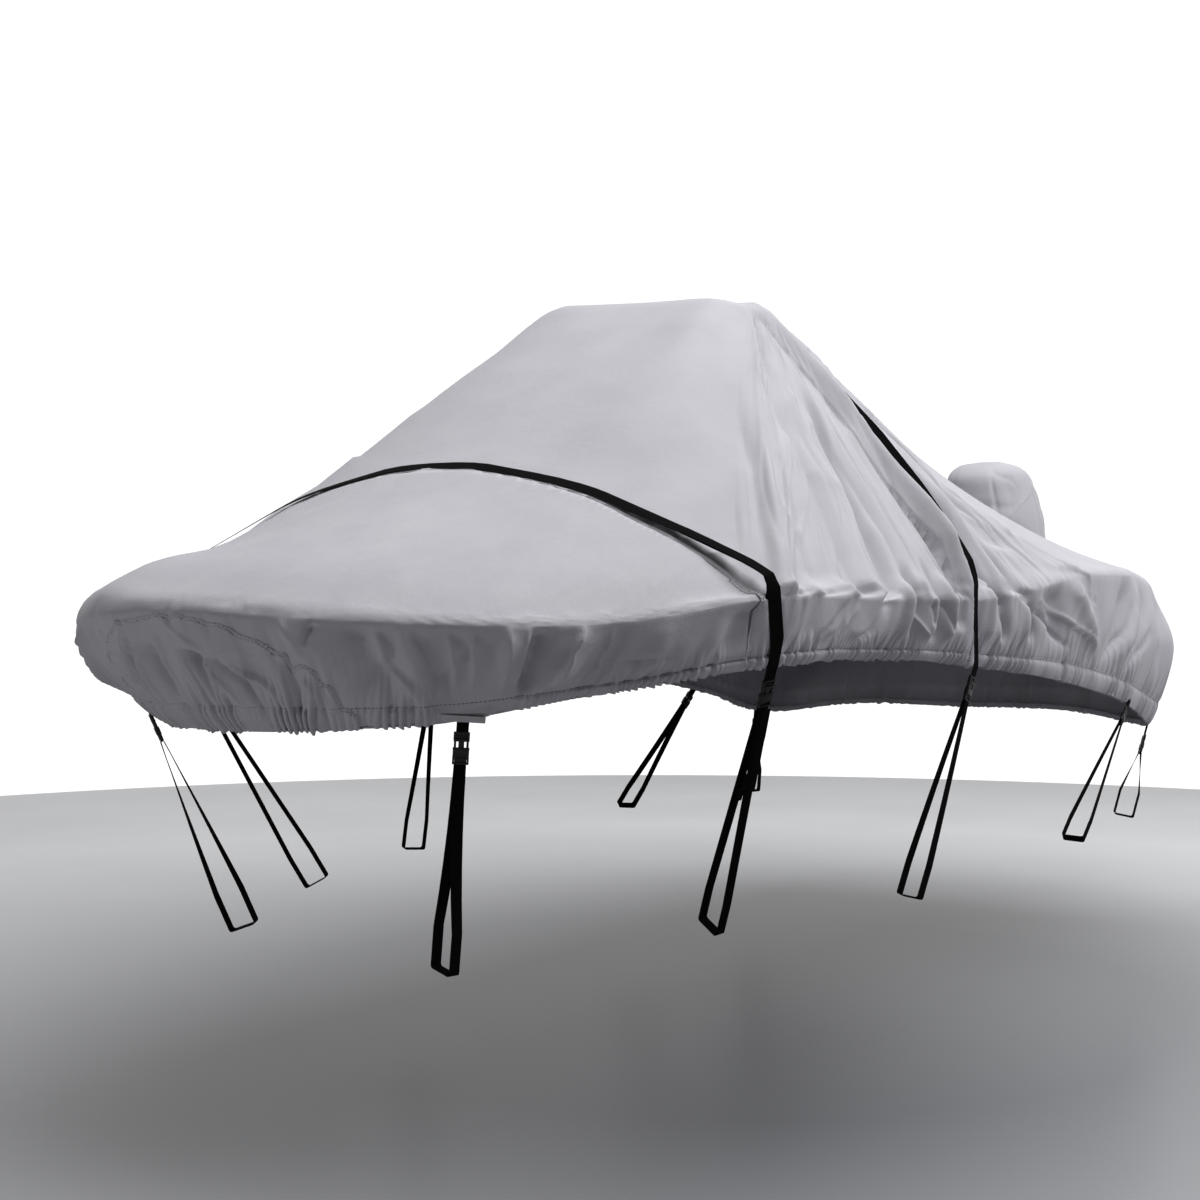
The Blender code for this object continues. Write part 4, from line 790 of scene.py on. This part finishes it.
def rows_for(slope_count, skirt_count):
    """Rows from the top's middle to the hem, closer together at the rim, the edge and the hem."""
    top = np.array([-1.0, -.93, -.8, -.62, -.45, -.3, -.18, -.10])
    slope = np.linspace(RIM_ROW, 1.0, slope_count + 1)[1:-1]
    skirt = 2 + np.linspace(0, 1, skirt_count + 1)[1:] ** 0.85
    roll = np.array([3.03, 3.06, 3.1, 3.15, 3.2])
    return np.concatenate([top, RIM_ROWS, slope, EDGE_ROWS, skirt, roll])


TOP_Z = -0.02  # the flat top is above this
FAR, COARSE = 9.9, .1  # a place beyond the stern, and the pitch of the columns where a panel isn't
fine_rows = rows_for(70, 38)
fore_edge, aft_edge = np.array([SEAM_FORE_X, 0, 0]), np.array([SEAM_AFT_X, 0, 0])
aftward = np.array([1, 0, 0])
foredeck = cloth_piece(
    "foredeck_cloth", [(0, 1.45, .0032), (1.45, FAR, COARSE)], [(0, 1.45, .008), (1.45, FAR, COARSE)],
    fine_rows, [(fore_edge, -aftward), (GORE_START, GORE_UP)])
gore = cloth_piece(
    "bow_gore_cloth", [(0, 1.45, .0028), (1.45, FAR, COARSE)], [(0, 1.45, .006), (1.45, FAR, COARSE)],
    fine_rows, [(fore_edge, -aftward), (GORE_START, -GORE_UP)])
midship = cloth_piece(
    "midship_cloth", [(0, 1.4, .05), (1.4, 2.85, .0030), (2.85, FAR, COARSE)],
    [(0, 1.4, .1), (1.4, 2.85, .009), (2.85, FAR, COARSE)],
    fine_rows, [(fore_edge, aftward), (aft_edge, -aftward)])
aft = cloth_piece(
    "aft_cloth", [(0, 2.6, COARSE), (2.6, 3.4, .0042), (3.4, 5.2, .006), (5.2, FAR, .010)],
    [(0, 2.6, COARSE), (2.6, FAR, .013)],
    rows_for(58, 36), [(aft_edge, aftward)])

# -------------------- rear hood
# A separate bag of the same coated polyester behind the stern: soft rounded corners, a curved seam and loose
# upright folds. It is pulled on from above and its front hem is tacked on.
HOOD = np.array([  # height, middle, half length, half width
    (-.306, 2.950, .070, .055),
    (-.325, 2.935, .180, .115),
    (-.370, 2.935, .245, .155),
    (-.470, 2.960, .290, .182),
    (-.560, 2.978, .310, .196),
    (-.660, 2.990, .322, .203),
    (-.800, 2.982, .335, .210),
    (-.890, 2.960, .340, .205),
])
HOOD_SQUARE = 2.6  # 2 is an ellipse seen from above, more is squarer
HOOD_FOLDS = 7
HOOD_BAND = -.84  # its elastic band
HOOD_PITCH = 0.0112  # of its columns
hood_levels = np.concatenate([
    -.306 - .019 * np.linspace(0, 1, 5) ** 2, np.linspace(-.330, -.390, 8)[1:], np.linspace(-.40, -.890, 42)])
turns = np.linspace(0, 2 * math.pi, 151)[:-1]
across, beside = (np.sign(way) * np.abs(way) ** (2 / HOOD_SQUARE) for way in (np.cos(turns), np.sin(turns)))
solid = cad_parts["rear_hood"].data
low_front = min(v.co.x for v in solid.vertices if v.co.z < -.885)
rings = []
for z in hood_levels:
    x, half_long, half_wide = smooth_down(HOOD[::-1, 0], HOOD[::-1, 1:], np.array([z]))[0]
    low = np.clip((HOOD[1, 0] - z) / (HOOD[1, 0] - HOOD[-1, 0]), 0, 1)
    level = np.full_like(turns, z)
    # upright folds, small wrinkles, the band's ruffles, loose upright hollows and sagging ones across
    swell = 1 + 0.030 * low * np.cos(HOOD_FOLDS * turns + 0.6) * (np.cos(turns) > -0.6)
    swell += 0.010 * low * waves(turns * 5.1 + z, level * 6, 31)
    swell += 0.006 * low * waves(turns * 12, level * 14, 32)
    ruffle = np.sin(turns * 60 + 2 * waves(turns * 9, 0 * turns, 33))
    swell += 0.010 * np.exp(-((z - HOOD_BAND) / .035) ** 2) * ruffle
    loose = ridges(turns * 2.6 + 0.5 + 0.9 * z, level * 2.2, 34)
    swell -= 0.040 * np.clip((-.33 - z) / .12, 0, 1) * np.clip(loose, 0, 1) ** 2
    sag = ridges(turns * 1.7, level * 9.0 + 3, 35)
    swell -= 0.022 * np.clip((-.31 - z) / .05, 0, 1) * np.clip(sag, 0, 1) ** 2
    rings.append(np.stack([x + half_long * across * swell, half_wide * beside * swell, level], -1))
shift = low_front - rings[-1][:, 0].min()
for ring, z in zip(rings, hood_levels):
    share = np.clip((HOOD[4, 0] - z) / (HOOD[4, 0] - HOOD[-1, 0]), 0, 1) ** 2
    ring[:, 0] += shift * share
shape = bmesh.new()
uv = shape.loops.layers.uv.new("cloth")
corners = [[shape.verts.new(p) for p in ring] for ring in rings]
crown = shape.verts.new(rings[0].mean(axis=0) + np.array((0, 0, 0.001)))
for c in range(len(turns)):
    d = (c + 1) % len(turns)
    shape.faces.new((crown, corners[0][d], corners[0][c]))
    for r in range(len(rings) - 1):
        face = shape.faces.new((corners[r][c], corners[r][d], corners[r + 1][d], corners[r + 1][c]))
        for loop, column, row in zip(face.loops, (c, c + 1, c + 1, c), (r, r, r + 1, r + 1)):
            loop[uv].uv = (HOOD_PITCH * column, -hood_levels[row])
bmesh.ops.recalc_face_normals(shape, faces=shape.faces)
for face in shape.faces:
    face.smooth = True
hood = new_sheet("rear_hood_cloth", shape)
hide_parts("rear_hood")

# -------------------- webbing
# Black polypropylene webbing, woven flat: the straps, tabs and loops take this finish as they are. Two bands are
# added: the layer sewn on where the front strap turns over the port edge, and a tie-down's free end.
WEBBING_WIDTH, WEBBING_THICK = 0.028, 0.0014
JOINT_WIDTH, JOINT_THICK = 0.0345, 0.0016
RIBBON_SUNK = 0.0004  # a ribbon's edges lie this far inside what it lies on
JOINT_X = -1.12
JOINT_FROM, JOINT_STEP = 4.0, 1.1  # degrees up from port, and between its sections
TAIL_FROM, TAIL_LONG = 0.02, 0.50  # the free end's start and length, as shares of the loop's leg
webbing = new_finish("polypropylene_webbing", "0C0C0E", 0.90, ("0A0A0B", "161618"), 420.0,
                     grain=(0.5, 0.0008), Specular_IOR_Level=0.04)[0]
for name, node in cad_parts.items():
    if name.startswith(("strap_", "loop_", "tab_")):
        node.material_slots[0].material = webbing


def ribbon(name, spots, normals, width, thick, finish):
    """A flat band along spots, four corners a section."""
    spots, normals = np.asarray(spots, float), np.asarray(normals, float)
    along = unit(np.gradient(spots, axis=0))
    side = unit(np.cross(normals, along))
    face = np.cross(along, side)
    shape = bmesh.new()
    sections = []
    for p, n, w in zip(spots, face, side):
        corners = [p + w * x * width / 2 + n * h for x, h in
                   ((-1, -RIBBON_SUNK), (-0.9, thick), (0.9, thick), (1, -RIBBON_SUNK))]
        sections.append([shape.verts.new(v) for v in corners])
    for a, b in zip(sections, sections[1:]):
        for k in range(4):
            j = (k + 1) % 4
            shape.faces.new((a[k], b[k], b[j], a[j]))
    shape.faces.new(sections[0])
    shape.faces.new(sections[-1][::-1])
    bmesh.ops.recalc_face_normals(shape, faces=shape.faces)
    return new_piece(name, shape, finish)


# The front over-strap is joined where it turns over the port edge: a second layer of webbing sewn on.
spots, normals = [], []
for k in range(13):
    angle = math.radians(JOINT_FROM + JOINT_STEP * k)
    way = Vector((0.0, -math.cos(angle), math.sin(angle)))
    start = Vector((JOINT_X, 0.0, -1.0)) + way * 2.0
    hit, normal, _, _ = strap_trees["strap_mid"].ray_cast(start, -way)
    if hit is not None:
        spots.append(hit)
        normals.append(normal if normal.dot(way) > 0 else -normal)
ribbon("strap_joint", spots, normals, JOINT_WIDTH, JOINT_THICK, webbing)

# The free end of the port middle tie-down hangs down the outside of one leg of its loop and is cut off square.
leg_tree = strap_tree("loop_mid_port")
leg_points = [v.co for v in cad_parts["loop_mid_port"].data.vertices]


def mean_point(points):
    return sum(points, Vector()) / len(points)


neck_z = max(p.z for p in leg_points)
neck = mean_point([p for p in leg_points if p.z > neck_z - 0.012])
lower = [p for p in leg_points if -1.70 < p.z < -1.66]
aft_x = max(p.x for p in lower)
knee = mean_point([p for p in lower if p.x > aft_x - 0.03])
spots, normals = [], []
for k in range(16):
    target = neck.lerp(knee, TAIL_FROM + TAIL_LONG * k / 15) + Vector((0.0, -0.02, 0.0))
    hit, normal, _, _ = leg_tree.find_nearest(target)
    normal = normal if normal.y < 0 else -normal
    spots.append(hit + normal * 0.0012)
    normals.append(normal)
ribbon("tie_free_end", spots, normals, WEBBING_WIDTH, WEBBING_THICK, webbing)

# -------------------- side-release buckles
# Moulded in black acetal: a hollow body, a plug with two sprung prongs in its waist, and bars for the webbing.
acetal = new_finish("moulded_acetal", "141415", 0.34, ("111112", "1B1B1D"), 900.0,
                    grain=(0.15, 0.0003), Specular_IOR_Level=0.30)[0]
BUCKLE_EDGE = 0.0011  # its edges are rounded by this
BUCKLE_BLOCKS = [  # middle across (on both sides), out, up and size across, out, up, all in millimetres
    (0, 0, -12.0, 37, 12, 17),  # body
    (0, 0, -1.6, 38, 12, 4),  # body's mouth
    (16.6, 0, -28.5, 4.4, 9, 18),  # sides of the body's webbing end
    (0, 0, -35.4, 37, 8, 4.0),  # its outer bar
    (0, 0, -24.5, 34, 7, 3.6),  # its inner bar
    (14.2, 0, 8.0, 5.2, 8.4, 20),  # prongs
    (0, 0, 7.0, 13.0, 7.0, 18),  # middle guide
    (0, 0, 18.6, 36, 10, 5.6),  # shoulder of the plug
    (16.0, 0, 28.0, 4.6, 8.6, 18),  # sides of the plug's webbing end
    (0, 0, 35.2, 36, 7.4, 4.4),  # its outer bar
    (0, 1.2, 26.6, 32, 4.4, 3.4),  # its ladder bar
    (0, -1.5, 28.0, 28, 2.6, 19),  # the webbing that fills its two ends
    (0, -1.5, -28.0, 28, 2.6, 19),
]
blocks = []
for x, y, z, *size in BUCKLE_BLOCKS:
    for across_x in sorted({-x, x}):
        bpy.ops.mesh.primitive_cube_add(size=1.0)
        blocks.append(bpy.context.active_object)
        blocks[-1].data.transform(Matrix.Translation((across_x / 1000, y / 1000, z / 1000))
                                  @ Matrix.Diagonal((*(length / 1000 for length in size), 1.0)))
bpy.ops.object.select_all(action="DESELECT")
for block in blocks:
    block.select_set(True)
bpy.context.view_layer.objects.active = blocks[0]
bpy.ops.object.join()
model = bpy.context.active_object
edges = model.modifiers.new("edges", "BEVEL")
edges.width = BUCKLE_EDGE
edges.segments = 2
bpy.ops.object.modifier_apply(modifier=edges.name)
for face in model.data.polygons:
    face.use_smooth = True
bpy.ops.object.shade_smooth_by_angle(angle=math.radians(40))
model.data.materials.clear()
model.data.materials.append(acetal)
for name in [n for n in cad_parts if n.startswith("buckle_")]:
    corners = np.array([v.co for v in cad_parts[name].data.vertices])
    middle = (corners.min(axis=0) + corners.max(axis=0)) / 2
    spread = np.linalg.eigh(np.cov((corners - corners.mean(axis=0)).T))[1]
    out_way, _, up_way = [Vector(spread[:, k]) for k in range(3)]  # thinnest, middling and longest way
    up_way = up_way if up_way.z > 0 else -up_way
    out_way = out_way if out_way.y * middle[1] > 0 else -out_way
    turn = Matrix((out_way.cross(up_way), out_way, up_way)).transposed().to_4x4()
    reach = (corners - middle) @ np.array(up_way)
    middle = Vector(middle) + up_way * float(reach.max() + reach.min()) / 2
    mesh = model.data.copy()
    mesh.transform(Matrix.Translation(middle) @ turn)
    piece = bpy.data.objects.new("detailed_" + name, mesh)
    bpy.context.scene.collection.objects.link(piece)
    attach(piece, "root")
    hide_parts(name)
bpy.data.objects.remove(model, do_unlink=True)

# -------------------- seams and stitches
# The panels are joined by flat double-stitched seams; the elastic's casing is sewn along the hem, and a stiff
# patch of the same cloth is sewn on where the fore tie-downs pull. Stitches are drawn longer than real ones.
SEAM_THICK = 0.0012
SEAM_STITCH = (0.0055, 0.0035)  # length and gap
SEAM_ROWS = (-0.0034, 0.0034)  # the two rows of stitches
HEM_STITCH = (0.0060, 0.0040)
STITCH = [(-0.0006, 0.0002), (0.0, 0.0021), (0.0006, 0.0002)]  # its section: across and up
HOOD_SEAM_FROM, HOOD_SEAM_TURN = 0.55, 2.0  # radians round the hood: its start and length
HOOD_SEAM_TOP, HOOD_SEAM_FALL = 0.345, 0.27  # metres below the origin, and down from there
seam_cloth = new_finish("coated_polyester_seam", "B6B6BA", 0.60, ("A9A9AD", "C0C0C4"), 160.0, 4.0, (0.4, 0.001))[0]
thread = new_finish("spun_polyester_thread", "919195", 0.75, ("838387", "A2A2A6"), 700.0)[0]

SURFACE_S = places([(0, 1.5, .006), (1.5, 3.3, .006), (3.3, 9.9, .014)], [(0, 9.9, .014)])
surface, surface_out, _ = fine_cloth(SURFACE_S, fine_rows)
surface = press_under_straps(surface, surface_out, fine_rows)


def read_grid(grid, outs, row, column):
    """Points and outward normals at fractional rows and columns of a closed grid; outs tells which way is out."""
    c, r = column.astype(int), np.minimum(row.astype(int), len(grid) - 2)
    d = (c + 1) % grid.shape[1]
    a, b = (column - c)[:, None], (row - r)[:, None]
    spots = (grid[r, c] * (1 - a) + grid[r, d] * a) * (1 - b) + (grid[r + 1, c] * (1 - a) + grid[r + 1, d] * a) * b
    ways = unit(np.cross(grid[r + 1, c] - grid[r, c], grid[r, d] - grid[r, c]))
    return spots, ways * np.sign(np.sum(ways * outs[r, c], axis=1, keepdims=True))


def on_cloth(s_values, row_values):
    """Points and outward normals of the finished cloth at places along the edge line and rows."""
    column = np.interp(s_values, SURFACE_S, np.arange(len(SURFACE_S)))
    return read_grid(surface, surface_out, np.interp(row_values, fine_rows, np.arange(len(fine_rows))), column)


def even_path(s_values, row_values, step):
    """The same path in even steps of length."""
    spots, _ = on_cloth(s_values, row_values)
    length = np.concatenate([[0], np.cumsum(np.linalg.norm(np.diff(spots, axis=0), axis=1))])
    at = np.arange(0, length[-1], step)
    return np.interp(at, length, s_values), np.interp(at, length, row_values)


def sew(name, paths, dash, gap, with_offsets=(0.0,)):
    """Short raised stitches along each path, in one mesh."""
    shape = bmesh.new()
    for s_values, row_values in paths:
        fine_s, fine_row = even_path(s_values, row_values, dash + gap)
        spots, ways = on_cloth(fine_s, fine_row)
        along = unit(np.gradient(spots, axis=0))
        side = np.cross(ways, along)
        for offset in with_offsets:
            for p, n, t, w in zip(spots + side * offset, ways, along, side):
                ends = [p + t * i * dash + w * j + n * h for i in (-0.5, 0.5) for j, h in STITCH]
                ends = [shape.verts.new(v) for v in ends]
                for face in ((0, 3, 4, 1), (1, 4, 5, 2), (0, 1, 2), (3, 5, 4), (0, 2, 5, 3)):
                    shape.faces.new([ends[k] for k in face])
    bmesh.ops.recalc_face_normals(shape, faces=shape.faces)
    return new_piece(name, shape, thread)


def trace(grid, lines, places):
    """Where the values along each line first turn from positive to negative: the line and the place on it."""
    path = []
    for values, line in zip(grid, lines):
        turns = np.flatnonzero((values[:-1] > 0) & (values[1:] <= 0))
        if len(turns):
            k = turns[0]
            k = k + values[k] / (values[k] - values[k + 1])
            path.append((line, np.interp(k, np.arange(len(places)), places)))
    return np.array(path)


def station_path(station, side, first, last):
    """The line round the cloth at one station, from one row to another, on one side."""
    columns = np.flatnonzero((SURFACE_S * side > 0.9) & (SURFACE_S * side < 3.2))[::side]
    rows = np.flatnonzero((fine_rows >= first) & (fine_rows <= last))
    return trace(station - surface[rows][:, columns, 0], fine_rows[rows], SURFACE_S[columns])[:, ::-1]


low_rows = np.flatnonzero((fine_rows >= 1.1) & (fine_rows <= 3.0))
bow_columns = np.flatnonzero(np.abs(SURFACE_S) < 1.4)
height = (surface[low_rows][:, bow_columns] - GORE_START) @ GORE_UP
gore_path = trace(height.T, SURFACE_S[bow_columns], fine_rows[low_rows])
seam_paths = [("gore_seam", gore_path, 0.013)]
for side, label in ((1, "port"), (-1, "starboard")):
    seam_paths.append((f"fore_seam_{label}", station_path(SEAM_FORE_X, side, 0.955, 2.97), 0.010))
    seam_paths.append((f"aft_seam_{label}", station_path(SEAM_AFT_X, side, 0.10, 2.97), 0.008))
for name, path, width in seam_paths:
    spots, ways = on_cloth(*even_path(path[:, 0], path[:, 1], 0.008))
    for _ in range(2):  # a seam turns less than the cloth that it lies on
        ways[1:-1] = ways[:-2] + ways[1:-1] + ways[2:]
        ways = unit(ways)
    ribbon(name, spots, ways, width, SEAM_THICK, seam_cloth)

# The hood's seam runs back and down across its port side.
hood_rings = np.array(rings)
seam_share = np.linspace(0, 1, 40)
seam_column = (2 * math.pi - HOOD_SEAM_FROM - HOOD_SEAM_TURN * seam_share) / (2 * math.pi) * len(turns)
seam_z = HOOD_SEAM_TOP + HOOD_SEAM_FALL * seam_share ** 1.3
seam_ring = np.interp(seam_z, -hood_levels, np.arange(len(hood_levels)))
spots, ways = read_grid(hood_rings, hood_rings - hood_rings.mean(axis=1, keepdims=True), seam_ring, seam_column)
ribbon("hood_seam", spots, ways, 0.009, SEAM_THICK, seam_cloth)

sew("seam_stitches", [(path[:, 0], path[:, 1]) for _, path, _ in seam_paths], *SEAM_STITCH, SEAM_ROWS)
sew("hem_stitches", [(np.linspace(SURFACE_S[0], SURFACE_S[-1], 3000), np.full(3000, CASING_ROW))], *HEM_STITCH)

patch_finish, shader, place = new_finish("coated_polyester_patch", "B2B2B6", 0.60, ("AAAAAE", "BDBDC0"), 60.0)
weave = add_node(patch_finish, "ShaderNodeTexWave", {"bands_direction": "Z", "Scale": 110.0}, Vector=place)
link(patch_finish, bump(patch_finish, weave.outputs["Fac"], 0.2, 0.0005), shader.inputs["Normal"])
for name in ("patch_fore_port", "patch_fore_starboard"):
    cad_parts[name].material_slots[0].material = patch_finish

for node_name, piece, flat, area, held, rest in (
    ("bow_gore", gore, (1.05, 0.34), 0.27, "gathered", ["foredeck_cloth"]),
    ("foredeck_panel", foredeck, (2.35, 1.45), 2.25, "stretched", ["midship_cloth"]),
    ("midship_panel", midship, (3.60, 1.60), 4.55, "draped", ["foredeck_cloth"]),
    ("aft_panel", aft, (4.00, 3.10), 9.20, "draped", ["midship_cloth"]),
):
    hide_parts(node_name)
